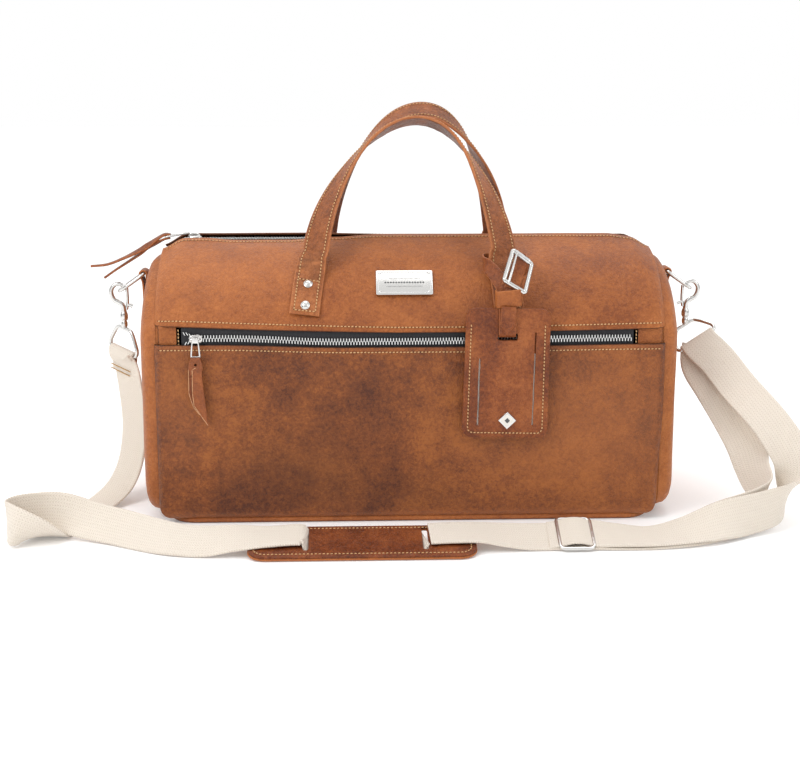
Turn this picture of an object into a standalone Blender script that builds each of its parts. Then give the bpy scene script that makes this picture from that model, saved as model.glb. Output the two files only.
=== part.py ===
"""Leather weekender bag with two handles, an outside zip pocket, a luggage tag and a clip-on webbing strap.

+X runs along the bag, -Y is its front, +Z is up. The origin is the middle of the base, on the floor.
Dimensions below are in millimetres and are turned into metres when a mesh is made.
"""
import math

import bmesh
import bpy
from mathutils import Vector

MM = 0.001

# Bag shell
HALF_LENGTH = 246.0        # middle to the seam between a panel and its gusset
END_BULGE = 16.0           # how far a gusset stands out past its seam
HALF_DEPTH = 114.0         # middle to the outer face of the front
BASE_TOP = 8.0             # where the side panels start above the floor
BASE_RADIUS = 20.0         # rounding of the lower end corners
SHOULDER = 192.0           # where the upper panels start to lean in
MOUTH_HALF = 14.5          # half the width of the top zip's slot
RIDGE = 269.0              # height of the top edge
LEAN_Y, LEAN_Z = 88.0, 256.0   # control point of the curve from shoulder to ridge
FLAT_TOP = 222.0           # the ridge is level out to here, then drops to the gussets
END_DROP = 0.145           # share of the upper height that is lost at the gusset seam
LEATHER = 2.4
GAP = 0.3                  # clearance between two pieces that lie on each other

# Pocket on the front
FLAP_EDGE = 188.0
POCKET_TOP = 174.5
POCKET_DEPTH = 5.7
TAPE_LEFT, TAPE_RIGHT = -218.0, 212.5
POCKET_TEETH_Z = 181.2

# Zips
TOOTH_PITCH = 6.0
TOP_SLIDER_X = -214.0
POCKET_SLIDER_X = -205.0

# Handles
STRAP_WIDTH = 29.0
STRAP_THICK = 3.2
HANDLE_HALF = 91.0         # middle to the centre of a leg at the hinge
HINGE_Y, HINGE_Z = 73.5, 262.0
FLEX = 2.4                 # left open above and below the hinge, where the real strap bends
FRONT_APEX_Z, REAR_APEX_Z = 384.0, 393.0
APEX_Y = 17.0              # how far each handle stays from the middle at its highest point
TAB_SPREAD = 7.0           # the legs stand this much wider at their lower ends
RIVET_STEPS = (0.17, 0.345)    # along the shoulder curve

# Strap and its fittings
WEB_WIDTH = 38.0
WEB_THICK = 2.0
WIRE = 2.0                 # radius of the D-ring wire
RING_PIVOT = Vector((266.5, 0.0, 231.0))
RING_SLOPE = math.radians(35.0)
RING_HALF = 13.0
RING_ARM = 18.0

# Luggage tag
TAG_X, TAG_TOP, TAG_WIDTH, TAG_HEIGHT = 90.0, 213.0, 81.0, 125.0
TAG_BACK_Y = -123.0
TAG_TILT = math.radians(1.2)

TAN = (0.47, 0.19, 0.075)
BROWN = (0.30, 0.10, 0.04)
REDDISH = (0.36, 0.13, 0.055)
CANVAS = (0.84, 0.78, 0.69)
BLACK = (0.02, 0.02, 0.022)
NICKEL = (0.78, 0.77, 0.74)
PAPER = (0.82, 0.78, 0.70)
LINING = (0.10, 0.085, 0.07)


def material(name, colour, roughness, metallic=0.0):
    """Return the Principled material of this name, made on first use."""
    found = bpy.data.materials.get(name)
    if found:
        return found
    made = bpy.data.materials.new(name)
    made.use_nodes = True
    shader = made.node_tree.nodes["Principled BSDF"]
    shader.inputs["Base Color"].default_value = (*colour, 1.0)
    shader.inputs["Roughness"].default_value = roughness
    shader.inputs["Metallic"].default_value = metallic
    return made


def leather(colour=TAN):
    names = {TAN: "tan_leather", BROWN: "brown_leather", REDDISH: "handle_leather"}
    return material(names[colour], colour, 0.5)


def metal():
    return material("nickel", NICKEL, 0.18, 1.0)


def webbing():
    return material("cotton_webbing", CANVAS, 0.9)


def zip_cloth():
    return material("zip_tape", BLACK, 0.85)


def finish_object(name, data, mat, pivot):
    thing = bpy.data.objects.new(name, data)
    thing.location = Vector(pivot) * MM
    data.materials.append(mat)
    bpy.context.scene.collection.objects.link(thing)
    return thing


def mesh_object(name, points, faces, mat, pivot=(0, 0, 0), smooth=True):
    """Make an object from points in millimetres, with its origin on the pivot."""
    data = bpy.data.meshes.new(name)
    start = Vector(pivot)
    data.from_pydata([(Vector(p) - start) * MM for p in points], [], faces)
    tidy = bmesh.new()
    tidy.from_mesh(data)
    bmesh.ops.recalc_face_normals(tidy, faces=tidy.faces)
    tidy.to_mesh(data)
    tidy.free()
    if smooth:
        data.shade_smooth()
        data.set_sharp_from_angle(angle=math.radians(35))
    return finish_object(name, data, mat, pivot)


def loft(name, rings, mat, pivot=(0, 0, 0), closed=False, smooth=True):
    """Skin a row of rings with equal point counts, and cap both ends unless the row is closed."""
    count = len(rings[0])
    points = [p for ring in rings for p in ring]
    faces = []
    spans = len(rings) if closed else len(rings) - 1
    for i in range(spans):
        here = i * count
        there = (i + 1) % len(rings) * count
        for j in range(count):
            k = (j + 1) % count
            faces.append((here + j, here + k, there + k, there + j))
    if not closed:
        faces.append(tuple(range(count)))
        faces.append(tuple(range(len(points) - 1, len(points) - 1 - count, -1)))
    return mesh_object(name, points, faces, mat, pivot, smooth)


def sheet(name, grid, thickness, mat, pivot=(0, 0, 0)):
    """Make a closed skin from an outer grid of (point, outward normal) pairs, thickened inwards."""
    rows, columns = len(grid), len(grid[0])
    outer = [p for row in grid for p, _ in row]
    inner = [p - n * thickness for row in grid for p, n in row]
    offset = len(outer)
    faces = []
    for i in range(rows - 1):
        for j in range(columns - 1):
            a, b = i * columns + j, i * columns + j + 1
            c, d = b + columns, a + columns
            faces.append((a, b, c, d))
            faces.append((a + offset, d + offset, c + offset, b + offset))
    rim = [j for j in range(columns)]
    rim += [i * columns + columns - 1 for i in range(1, rows)]
    rim += [(rows - 1) * columns + j for j in range(columns - 2, -1, -1)]
    rim += [i * columns for i in range(rows - 2, 0, -1)]
    for k, a in enumerate(rim):
        b = rim[(k + 1) % len(rim)]
        faces.append((b, a, a + offset, b + offset))
    return mesh_object(name, outer + inner, faces, mat, pivot)


def smooth_points(points, steps):
    """Points on a Catmull-Rom curve through the given vectors, of any length."""
    count = len(points)
    out = []
    for i in range(count - 1):
        a, b = points[max(i - 1, 0)], points[i]
        c, d = points[i + 1], points[min(i + 2, count - 1)]
        for k in range(steps):
            t = k / steps
            out.append([0.5 * (2 * q + (r - p) * t + (2 * p - 5 * q + 4 * r - s) * t * t
                               + (3 * q - p - 3 * r + s) * t ** 3)
                        for p, q, r, s in zip(a, b, c, d)])
    out.append(list(points[-1]))
    return out


def ribbon(name, stations, width, thickness, mat, pivot=(0, 0, 0), steps=3):
    """Flat strap along stations of (x, y, z, width direction x, y, z)."""
    rows = smooth_points(stations, steps)
    centres = [Vector(row[:3]) for row in rows]
    rings = []
    for i, row in enumerate(rows):
        ahead = centres[min(i + 1, len(rows) - 1)] - centres[max(i - 1, 0)]
        ahead.normalize()
        across = Vector(row[3:6])
        across = (across - ahead * across.dot(ahead)).normalized()
        face = ahead.cross(across)
        side, half = across * width / 2, face * thickness / 2
        centre = centres[i]
        rings.append([centre - side - half, centre + side - half, centre + side + half, centre - side + half])
    return loft(name, rings, mat, pivot)


def wire(name, points, radius, mat, pivot=(0, 0, 0), closed=False, resolution=2):
    """Round wire along points in millimetres, as a bevelled curve with filled ends."""
    data = bpy.data.curves.new(name, "CURVE")
    data.dimensions = "3D"
    data.bevel_depth = radius * MM
    data.bevel_resolution = resolution
    data.use_fill_caps = not closed
    spline = data.splines.new("POLY")
    spline.points.add(len(points) - 1)
    start = Vector(pivot)
    for knot, point in zip(spline.points, points):
        knot.co = (*((Vector(point) - start) * MM), 1.0)
    spline.use_cyclic_u = closed
    return finish_object(name, data, mat, pivot)


def rounded_rectangle(width, height, radius, arc_steps=4):
    """Corner-rounded outline in the plane, centred on the origin, counter-clockwise."""
    out = []
    for corner in range(4):
        start = corner * math.pi / 2
        centre_x = (width / 2 - radius) * (1 if corner in (0, 3) else -1)
        centre_z = (height / 2 - radius) * (1 if corner in (0, 1) else -1)
        for k in range(arc_steps + 1):
            angle = start + k / arc_steps * math.pi / 2
            out.append((centre_x + radius * math.cos(angle), centre_z + radius * math.sin(angle)))
    return out


def plate(name, outline, holes, thickness, place, mat, pivot=(0, 0, 0)):
    """Flat plate from an outline with holes; place turns (across, up, through) into a point."""
    work = bmesh.new()
    edges = []
    for loop in [outline] + holes:
        knots = [work.verts.new((a, b, 0)) for a, b in loop]
        edges += [work.edges.new((knots[i - 1], knots[i])) for i in range(len(knots))]
    filled = bmesh.ops.triangle_fill(work, use_beauty=True, edges=edges)
    faces = [part for part in filled["geom"] if isinstance(part, bmesh.types.BMFace)]
    raised = bmesh.ops.extrude_face_region(work, geom=faces)
    lifted = [part for part in raised["geom"] if isinstance(part, bmesh.types.BMVert)]
    bmesh.ops.translate(work, verts=lifted, vec=(0, 0, thickness))
    work.verts.index_update()
    points = [place(*v.co) for v in work.verts]
    polygons = [tuple(v.index for v in f.verts) for f in work.faces]
    work.free()
    return mesh_object(name, points, polygons, mat, pivot, smooth=False)


def dome(name, centre, normal, radius, height, mat, turns=12):
    """Rivet head: a low dome with a flat underside, spun about its normal."""
    normal = normal.normalized()
    across = normal.orthogonal().normalized()
    along = normal.cross(across)
    rings = []
    for rise, share in ((0.0, 0.96), (0.25, 1.0), (0.7, 0.72), (0.95, 0.3)):
        rings.append([centre + normal * height * rise
                      + (across * math.cos(a) + along * math.sin(a)) * radius * share
                      for a in (2 * math.pi * k / turns for k in range(turns))])
    return loft(name, rings, mat)


# ---------------------------------------------------------------- shell surface

def smoothstep(low, high, value):
    t = min(max((value - low) / (high - low), 0.0), 1.0)
    return t * t * (3 - 2 * t)


def rise_scale(x):
    """Share of the full height above the shoulder at this place along the bag."""
    return 1.0 - END_DROP * smoothstep(FLAT_TOP, HALF_LENGTH + 2, abs(x))


def shoulder_point(x, t, offset=0.0, side=-1):
    """Point and outward normal on the leaning upper panel, t from 0 (shoulder) to 1 (mouth)."""
    y = (1 - t) ** 2 * HALF_DEPTH + 2 * t * (1 - t) * LEAN_Y + t * t * MOUTH_HALF
    z = (1 - t) ** 2 * SHOULDER + 2 * t * (1 - t) * LEAN_Z + t * t * RIDGE
    run_y = 2 * (1 - t) * (LEAN_Y - HALF_DEPTH) + 2 * t * (MOUTH_HALF - LEAN_Y)
    run_z = 2 * (1 - t) * (LEAN_Z - SHOULDER) + 2 * t * (RIDGE - LEAN_Z)
    normal = Vector((0, run_z * side, -run_y)).normalized()
    lowered = SHOULDER + (z - SHOULDER) * rise_scale(x)
    return Vector((x, y * side, lowered)) + normal * offset, normal


def belly(x, z):
    """Soft outward swelling of the walls between base and shoulder."""
    height = min(max((z - BASE_TOP) / (POCKET_TOP - BASE_TOP - 6), 0.0), 1.0)
    return 3.0 * math.sin(math.pi * height) * math.cos(math.pi * x / (2 * HALF_LENGTH + 20))


def wall_point(x, z, offset=0.0, side=-1, swell=1.0):
    y = HALF_DEPTH + offset + belly(x, z) * swell
    return Vector((x, y * side, z)), Vector((0, side, 0))


def spread(low, high, count):
    return [low + (high - low) * k / (count - 1) for k in range(count)]


LENGTH_STOPS = spread(-HALF_LENGTH, -FLAT_TOP, 4) + spread(-FLAT_TOP, FLAT_TOP, 9)[1:-1] \
    + spread(FLAT_TOP, HALF_LENGTH, 4)


def upper_rows(x, side):
    return [shoulder_point(x, t, 0.0, side) for t in spread(0.0, 1.0, 9)]


def make_panels():
    front = [[(Vector((x, -HALF_DEPTH, FLAP_EDGE)), Vector((0, -1, 0)))] + upper_rows(x, -1) for x in LENGTH_STOPS]
    sheet("front_upper_panel", front, LEATHER, leather())
    pocket = [[wall_point(x, z) for z in spread(BASE_TOP + GAP, POCKET_TOP, 8)] for x in LENGTH_STOPS]
    sheet("front_pocket_panel", pocket, LEATHER, leather(BROWN))
    inner = -(LEATHER + POCKET_DEPTH)
    backing = [[wall_point(x, z, inner, -1, 0.0) for z in spread(BASE_TOP + GAP, SHOULDER - 4, 3)]
               for x in LENGTH_STOPS]
    sheet("pocket_back_panel", backing, 1.4, leather(BROWN))
    rear = [[wall_point(x, z, 0.0, 1) for z in spread(BASE_TOP + GAP, SHOULDER - 6, 7)] + upper_rows(x, 1)
            for x in LENGTH_STOPS]
    sheet("rear_panel", rear, LEATHER, leather())


def section_outline(inset):
    """Closed outline of the bag's end in (y, z), from the lower front corner round over the top."""
    low = BASE_TOP + GAP
    half = [(-(HALF_DEPTH - inset), z) for z in spread(low + BASE_RADIUS, SHOULDER - 8, 5)]
    corner = [(-(HALF_DEPTH - inset - BASE_RADIUS * (1 - math.cos(a))), low + BASE_RADIUS * (1 - math.sin(a)))
              for a in (math.pi / 2 * k / 4 for k in range(4, 0, -1))]
    upper = []
    for t in spread(0.0, 1.0, 8):
        point, normal = shoulder_point(HALF_LENGTH + 2, t, -inset)
        upper.append((point.y, point.z))
    front = corner + half + upper
    rear = [(-y, z) for y, z in reversed(front)]
    return front + rear


def gusset_ring(outline, share, side, offset):
    middle_z = 120.0
    rise = END_BULGE * (1 - share ** 5)
    return [Vector((side * (HALF_LENGTH + 0.4 + rise + offset), y * share, middle_z + (z - middle_z) * share))
            for y, z in outline]


def make_gusset(name, side):
    """End panel: a shallow pillow whose rim meets the ends of the long panels."""
    outline = section_outline(0.0)
    shares = (1.0, 0.97, 0.9, 0.75, 0.5, 0.12)
    outer = [gusset_ring(outline, s, side, 0.0) for s in shares]
    inner = [gusset_ring(section_outline(LEATHER), s, side, -0.2) for s in (0.12, 0.5, 0.75, 0.9, 0.95)]
    inner = [[p - Vector((side * (LEATHER - 0.2), 0, 0)) if i < 4 else p for p in ring]
             for i, ring in enumerate(inner)]
    count = len(outline)
    rings = outer[::-1] + inner[::-1]
    points = [p for ring in rings for p in ring]
    faces = []
    for i in range(len(rings) - 1):
        for j in range(count):
            k = (j + 1) % count
            faces.append((i * count + j, i * count + k, (i + 1) * count + k, (i + 1) * count + j))
    faces.append(tuple(range(count)))
    faces.append(tuple(range(len(points) - count, len(points))))
    mesh_object(name, points, faces, leather(), smooth=True)


def base_ring(half_x, half_y, radius, z):
    return [Vector((x, y, z)) for x, y in rounded_rectangle(2 * half_x, 2 * half_y, radius, 4)]


def make_base():
    reach = HALF_LENGTH + END_BULGE - 6
    rings = [base_ring(reach - 10, HALF_DEPTH - 9, 24, 0.0),
             base_ring(reach - 3, HALF_DEPTH - 2, 26, 2.2),
             base_ring(reach, HALF_DEPTH + 0.5, 26, 5.0),
             base_ring(reach - 1, HALF_DEPTH, 26, BASE_TOP),
             base_ring(reach - 12, HALF_DEPTH - 10, 24, BASE_TOP)]
    loft("bottom_panel", rings, leather(BROWN))
    board_half = HALF_DEPTH - LEATHER - POCKET_DEPTH - 3.5
    board = [base_ring(HALF_LENGTH - 8, board_half, 16, z) for z in (BASE_TOP + GAP, BASE_TOP + 2.5)]
    loft("base_board", board, material("fibre_board", (0.16, 0.12, 0.09), 0.9))


def lining_ring(z, inset):
    """Plan of the inside of the bag at this height."""
    depth = HALF_DEPTH - LEATHER - POCKET_DEPTH - 2.2
    drop = 0.0
    if z > SHOULDER - 4:
        share = min((z - SHOULDER + 4) / (RIDGE - SHOULDER), 1.0)
        depth -= (depth - 44) * share ** 1.5
        drop = 10 * share
    return base_ring(HALF_LENGTH - 5 - drop - inset, depth - inset, 14, z)


def make_lining():
    low = BASE_TOP + 3.0
    heights = [low, 60.0, 130.0, SHOULDER - 4, 208.0, 222.0, 232.0]
    rings = [lining_ring(z, 0.0) for z in heights]
    rings += [lining_ring(z, 1.0) for z in reversed(heights[1:])] + [lining_ring(low + 1.0, 1.0)]
    loft("lining", rings, material("lining_cloth", LINING, 0.9))


# ---------------------------------------------------------------- zips

def ridge_height(x):
    return SHOULDER + (RIDGE - SHOULDER) * rise_scale(x)


def zip_bar(name, half, thickness, place, mat, stops):
    """Narrow solid strip along a zip: the joined teeth, or the tape under them."""
    rings = []
    for x in stops:
        rings.append([place(x, -half, 0.0), place(x, half, 0.0), place(x, half, thickness),
                      place(x, -half, thickness)])
    loft(name, rings, mat, smooth=False)


def top_place(x, across, up):
    return Vector((x, across, ridge_height(x) - 6.0 + up))


def pocket_place(x, across, out):
    return Vector((x, -(HALF_DEPTH - LEATHER - 0.4) - out, POCKET_TEETH_Z + across))


def toothed_bar(name, low, high, core, reach, thickness, place, mat):
    """Zip teeth as one body: a bar whose width steps in and out at every pitch."""
    count = int((high - low) / TOOTH_PITCH)
    pitch = (high - low) / count
    rings = []
    for k in range(count):
        start = low + k * pitch
        for x, half in ((start, core), (start + 0.42 * pitch, core), (start + 0.5 * pitch, reach),
                        (start + 0.92 * pitch, reach)):
            rings.append([place(x, -half, 0.0), place(x, half, 0.0), place(x, half, thickness),
                          place(x, -half, thickness)])
    rings.append([place(high, -core, 0.0), place(high, core, 0.0), place(high, core, thickness),
                  place(high, -core, thickness)])
    loft(name, rings, mat, smooth=False)


def slider_body(name, centre, along, across, up, length, width, height, pivot):
    """Zip slider: a boat-shaped block, wider at the front, with a low bridge on its back."""
    rings = []
    for place, half, tall in ((-0.5, 0.36, 0.55), (-0.3, 0.46, 0.75), (-0.1, 0.5, 1.0), (0.15, 0.5, 1.0),
                              (0.35, 0.44, 0.75), (0.5, 0.32, 0.55)):
        middle = centre + along * length * place
        side, top = across * width * half, up * height * tall
        rings.append([middle - side, middle + side, middle + side * 0.7 + top, middle - side * 0.7 + top])
    loft(name, rings, metal(), pivot)


def puller_plate(name, start, ahead, across, up, length, width, pivot):
    """Metal puller: a flat drop with a window near its free end."""
    outline = [(0.0, -0.28), (0.12, -0.38), (0.75, -0.5), (0.92, -0.46), (1.0, -0.3),
               (1.0, 0.3), (0.92, 0.46), (0.75, 0.5), (0.12, 0.38), (0.0, 0.28)]
    hole = [(0.5, -0.26), (0.86, -0.28), (0.86, 0.28), (0.5, 0.26)]
    def place(a, b, c):
        return start + ahead * a * length + across * b * width + up * c
    plate(name, outline, [hole], 1.4, place, metal(), pivot)


def make_top_zip():
    reach = HALF_LENGTH - 1.5
    stops = spread(-reach, -FLAT_TOP, 4) + spread(FLAT_TOP, reach, 4)
    zip_bar("top_zip_tape", 11.0, 0.9, lambda x, a, u: top_place(x, a, u - 1.2), zip_cloth(), stops)
    toothed_bar("top_zip_teeth", -reach + 6, reach - 6, 1.3, 3.0, 2.0, top_place, metal())
    along, across, up = Vector((1, 0, 0)), Vector((0, 1, 0)), Vector((0, 0, 1))
    base = Vector((TOP_SLIDER_X, 0, RIDGE - 6.0 + 2.0 + GAP))
    slider_body("top_zip_slider", base, along, across, up, 13.0, 9.5, 4.2, base)
    pivot = Vector((TOP_SLIDER_X - 5.0, 0, RIDGE + 3.0))
    slope = math.radians(9.0)
    ahead = Vector((-math.cos(slope), 0, -math.sin(slope)))
    lift = Vector((-math.sin(slope), 0, math.cos(slope)))
    start = pivot + ahead * 1.5 - lift * 0.7
    puller_plate("top_zip_puller", start, ahead, across, lift, 24.0, 9.0, pivot)
    tip = pivot + ahead * 26.2
    stations = [(*tip, 0, 1, 0), (tip.x - 9, -1, tip.z - 3, 0, 1, 0.1), (tip.x - 20, -2, tip.z - 9, 0, 1, 0.2),
                (tip.x - 36, -2, tip.z - 19, 0, 0.9, 0.4), (tip.x - 50, -1, tip.z - 29, 0, 0.8, 0.5),
                (tip.x - 64, 1, tip.z - 34, 0, 0.8, 0.5)]
    ribbon("top_pull_thong", stations, 7.0, 3.0, leather(REDDISH), pivot, steps=2)


def make_pocket_zip():
    stops = spread(TAPE_LEFT, TAPE_RIGHT, 3)
    zip_bar("pocket_zip_tape", 9.4, 0.8, lambda x, a, u: pocket_place(x, a, u - 1.1),
            zip_cloth(), stops)
    toothed_bar("pocket_zip_teeth", TAPE_LEFT + 2, TAPE_RIGHT - 2, 1.3, 2.9, 1.9, pocket_place, metal())
    for name, low, high in (("pocket_zip_tab_left", -HALF_LENGTH + 2, TAPE_LEFT - GAP),
                            ("pocket_zip_tab_right", TAPE_RIGHT + GAP, HALF_LENGTH - 2)):
        zip_bar(name, 9.4, 2.0, lambda x, a, u: pocket_place(x, a, u - 2.15), leather(),
                spread(low, high, 3))
    along, across, up = Vector((1, 0, 0)), Vector((0, 0, 1)), Vector((0, -1, 0))
    base = pocket_place(POCKET_SLIDER_X, 0, 1.9 + GAP)
    slider_body("pocket_zip_slider", base, along, across, up, 13.0, 9.0, 3.6, base)
    pivot = base + Vector((0, -5.0, 3.5))
    ahead = Vector((0, 0, -1))
    start = pivot + ahead * 1.5 + Vector((0, 0.7, 0))
    puller_plate("pocket_zip_puller", start, ahead, Vector((1, 0, 0)), up, 19.0, 9.0, pivot)
    top = pivot + ahead * 21.2
    hang = -(HALF_DEPTH + 5.6)
    stations = [(top.x, top.y - 1, top.z, 1, 0, 0), (top.x, hang, top.z - 9, 1, 0, 0),
                (top.x - 2, hang, top.z - 24, 1, 0, 0), (top.x + 1, hang, top.z - 44, 1, 0, 0),
                (top.x + 8, hang, top.z - 62, 1, 0, 0)]
    ribbon("pocket_pull_leather", stations, 13.0, 2.6, leather(REDDISH), pivot, steps=2)


# ---------------------------------------------------------------- handles

def leg_x(side, t):
    """Middle of a handle leg, from its lower end (t = 0) to the hinge (t = 1)."""
    return side * (HANDLE_HALF + TAB_SPREAD * (1 - t))


def leg_stations(side, face):
    """Centre line of the fixed part of a leg: lying on the panel, then standing up to the hinge."""
    stations = []
    lift = STRAP_THICK / 2 + GAP + 0.1
    for t in spread(0.10, 0.37, 5):
        share = (t - 0.10) / 0.6
        point, _ = shoulder_point(0.0, t, lift, face)
        stations.append((leg_x(side, share), point.y, point.z, 1, 0, 0))
    for y, z, share in ((82.0, 246.5, 0.7), (77.0, 255.0, 0.87), (HINGE_Y, HINGE_Z - FLEX, 1.0)):
        stations.append((leg_x(side, share), face * y, z, 1, 0, 0))
    return stations


def handle_stations(face, apex_z):
    """Centre line of the swinging part: up one leg, over the top with a quarter turn, down the other.

    At the top the front loop is tilted with its outer edge up and the rear loop with its outer edge up too,
    so that the two make a shallow V.
    """
    stations = []
    steps = 22
    for k in range(steps + 1):
        angle = math.pi * k / steps
        rise = math.sin(angle)
        side = -math.cos(angle)
        x = HANDLE_HALF * side * (1 - 0.17 * rise) + 6.0 * rise * rise
        lean_in = 1 - smoothstep(-0.25, 1.0, rise) + 0.104 * (1 - rise)
        y = face * (APEX_Y + (HINGE_Y - APEX_Y) * lean_in)
        z = HINGE_Z + FLEX + (apex_z - HINGE_Z - FLEX) * rise
        turn = math.radians(90) * smoothstep(0.12, 0.98, rise)
        lean = math.radians(17.0 if face < 0 else 30.0) * smoothstep(0.5, 1.0, rise)
        sign = 1 if side < 0 or k * 2 == steps else -1
        across = (sign * math.cos(turn), face * math.sin(turn) * math.cos(lean), math.sin(turn) * math.sin(lean))
        stations.append((x, y, z, *across))
    return stations


def make_handles():
    for face, row, apex in ((-1, "front", FRONT_APEX_Z), (1, "rear", REAR_APEX_Z)):
        for side, hand in ((-1, "left"), (1, "right")):
            name = "handle_tab_%s_%s" % (row, hand)
            ribbon(name, leg_stations(side, face), STRAP_WIDTH, STRAP_THICK, leather(REDDISH), steps=2)
            for step, level in zip(RIVET_STEPS, ("lower", "upper")):
                place, normal = shoulder_point(0.0, step, STRAP_THICK + 2 * GAP + 0.5, face)
                place.x = leg_x(side, (step - 0.10) / 0.6)
                dome("rivet_%s_%s_%s" % (row, hand, level), place, normal, 4.3, 1.8, metal())
        pivot = (0, face * HINGE_Y, HINGE_Z)
        ribbon(row + "_handle_loop", handle_stations(face, apex), STRAP_WIDTH, STRAP_THICK, leather(REDDISH),
               pivot, steps=2)


# ---------------------------------------------------------------- name plate and luggage tag

def make_name_plate():
    point, normal = shoulder_point(0.0, 0.39, 0.9, -1)
    up = Vector((1, 0, 0)).cross(normal) * -1
    if up.z < 0:
        up = -up
    def place(a, b, c):
        return point + Vector((a - 5.5, 0, 0)) + up * b + normal * c
    plate("name_plate", rounded_rectangle(55, 27, 1.2, 2), [], 1.4, place, metal())


def tag_place(depth):
    def place(a, b, c):
        x = a * math.cos(TAG_TILT) + b * math.sin(TAG_TILT)
        z = b * math.cos(TAG_TILT) - a * math.sin(TAG_TILT)
        return Vector((TAG_X + x, depth - c, TAG_TOP - TAG_HEIGHT / 2 + z))
    return place


TAG_PIVOT = Vector((TAG_X, TAG_BACK_Y - 6.2, TAG_TOP + 1.0))


def make_tag():
    slot_z = TAG_HEIGHT / 2 - 27.0
    slot = [(a, b + slot_z) for a, b in rounded_rectangle(20, 8.0, 1.5, 2)]
    body = rounded_rectangle(TAG_WIDTH, TAG_HEIGHT, 9, 4)
    plate("tag_back", body, [slot], 1.6, tag_place(TAG_BACK_Y), leather(REDDISH), TAG_PIVOT)
    card = rounded_rectangle(TAG_WIDTH - 14, TAG_HEIGHT - 50, 2, 1)
    card = [(a, b - 18) for a, b in card]
    plate("tag_card", card, [], 0.4, tag_place(TAG_BACK_Y - 1.9), material("card", PAPER, 0.9), TAG_PIVOT)
    plate("tag_front", body, [slot], 1.6, tag_place(TAG_BACK_Y - 2.6), leather(REDDISH), TAG_PIVOT)
    diamond = [(8.5, 0), (0, 8.5), (-8.5, 0), (0, -8.5)]
    badge = [(a + 2.0, b - TAG_HEIGHT / 2 + 17.0) for a, b in diamond]
    plate("tag_badge", badge, [], 1.2, tag_place(TAG_BACK_Y - 4.5), metal(), TAG_PIVOT)


def make_tag_strap():
    lower_top = TAG_TOP + 0.5
    slot_z = TAG_TOP - 27.0
    back, front = TAG_BACK_Y + 2.0, TAG_BACK_Y - 6.2
    middle = (back + front) / 2
    loop = [(TAG_X, back, lower_top), (TAG_X, back, slot_z + 10), (TAG_X, back - 0.6, slot_z + 3),
            (TAG_X, middle, slot_z + 0.5), (TAG_X, front + 0.6, slot_z + 3), (TAG_X, front, slot_z + 10),
            (TAG_X, front, lower_top)]
    ribbon("tag_strap_lower", [(*p, 1, 0, 0) for p in loop], 16.5, 1.5, leather(REDDISH), TAG_PIVOT, steps=2)
    up = TAG_TOP + 1.6
    rise = (0, 0.31, 0.95)
    upper = [(90, -119.5, up, 1, 0, 0), (89, -118, 226, 1, 0, 0.1), (82, -109, 240, 0.8, 0.1, 0.5),
             (73.5, -96, 249, 0.25, 0.3, 0.9), (71, -85, 250, *rise), (73, -74.8, 252, *rise),
             (82, -72.8, 252.3, *rise), (92, -72.7, 252.3, *rise), (101, -72.8, 252.3, *rise),
             (110.5, -74.8, 252, *rise), (112.5, -85, 249.5, *rise), (111, -96, 249, 0.1, 0.2, 0.95),
             (106, -106, 243, 0.4, 0, 0.9), (99, -114, 234, 0.8, 0, 0.5),
             (93, -122, 225, 1, 0, 0.1), (91, -124.5, up, 1, 0, 0)]
    ribbon("tag_strap_upper", upper, 14.0, 1.4, leather(REDDISH), steps=3)
    ring = [Vector((a + 91, b - 122.0, 219.8)) for a, b in rounded_rectangle(23.5, 13.5, 3.5, 3)]
    band = []
    for point in ring:
        out = Vector((point.x - 91, point.y + 122.0, 0)).normalized()
        low, high = Vector((0, 0, -5.2)), Vector((0, 0, 5.2))
        band.append([point + low, point + out * 1.6 + low, point + out * 1.6 + high, point + high])
    loft("tag_keeper", band, leather(), closed=True)
    corners = [Vector((96, -107, 265)), Vector((114.5, -110, 253)), Vector((106.5, -126, 229)),
               Vector((87, -124, 240))]
    frame = []
    for k, corner in enumerate(corners):
        before, after = corners[k - 1], corners[(k + 1) % 4]
        frame += [corner + (before - corner).normalized() * 2.5, corner + (after - corner).normalized() * 2.5]
    wire("tag_buckle", frame, 1.4, metal(), closed=True)
    hinge = (corners[2] + corners[3]) / 2 + Vector((0, -3.4, 0))
    rest = (corners[0] + corners[1]) / 2 + Vector((0, -3.4, 1.5))
    wire("tag_prong", [hinge, (hinge + rest) / 2 + Vector((0, -0.6, 0)), rest], 1.1, metal(), hinge)


# ---------------------------------------------------------------- strap fittings

def ring_frame(side):
    pivot = Vector((side * RING_PIVOT.x, 0, RING_PIVOT.z))
    out = Vector((side * math.cos(RING_SLOPE), 0, -math.sin(RING_SLOPE)))
    return pivot, out


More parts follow.
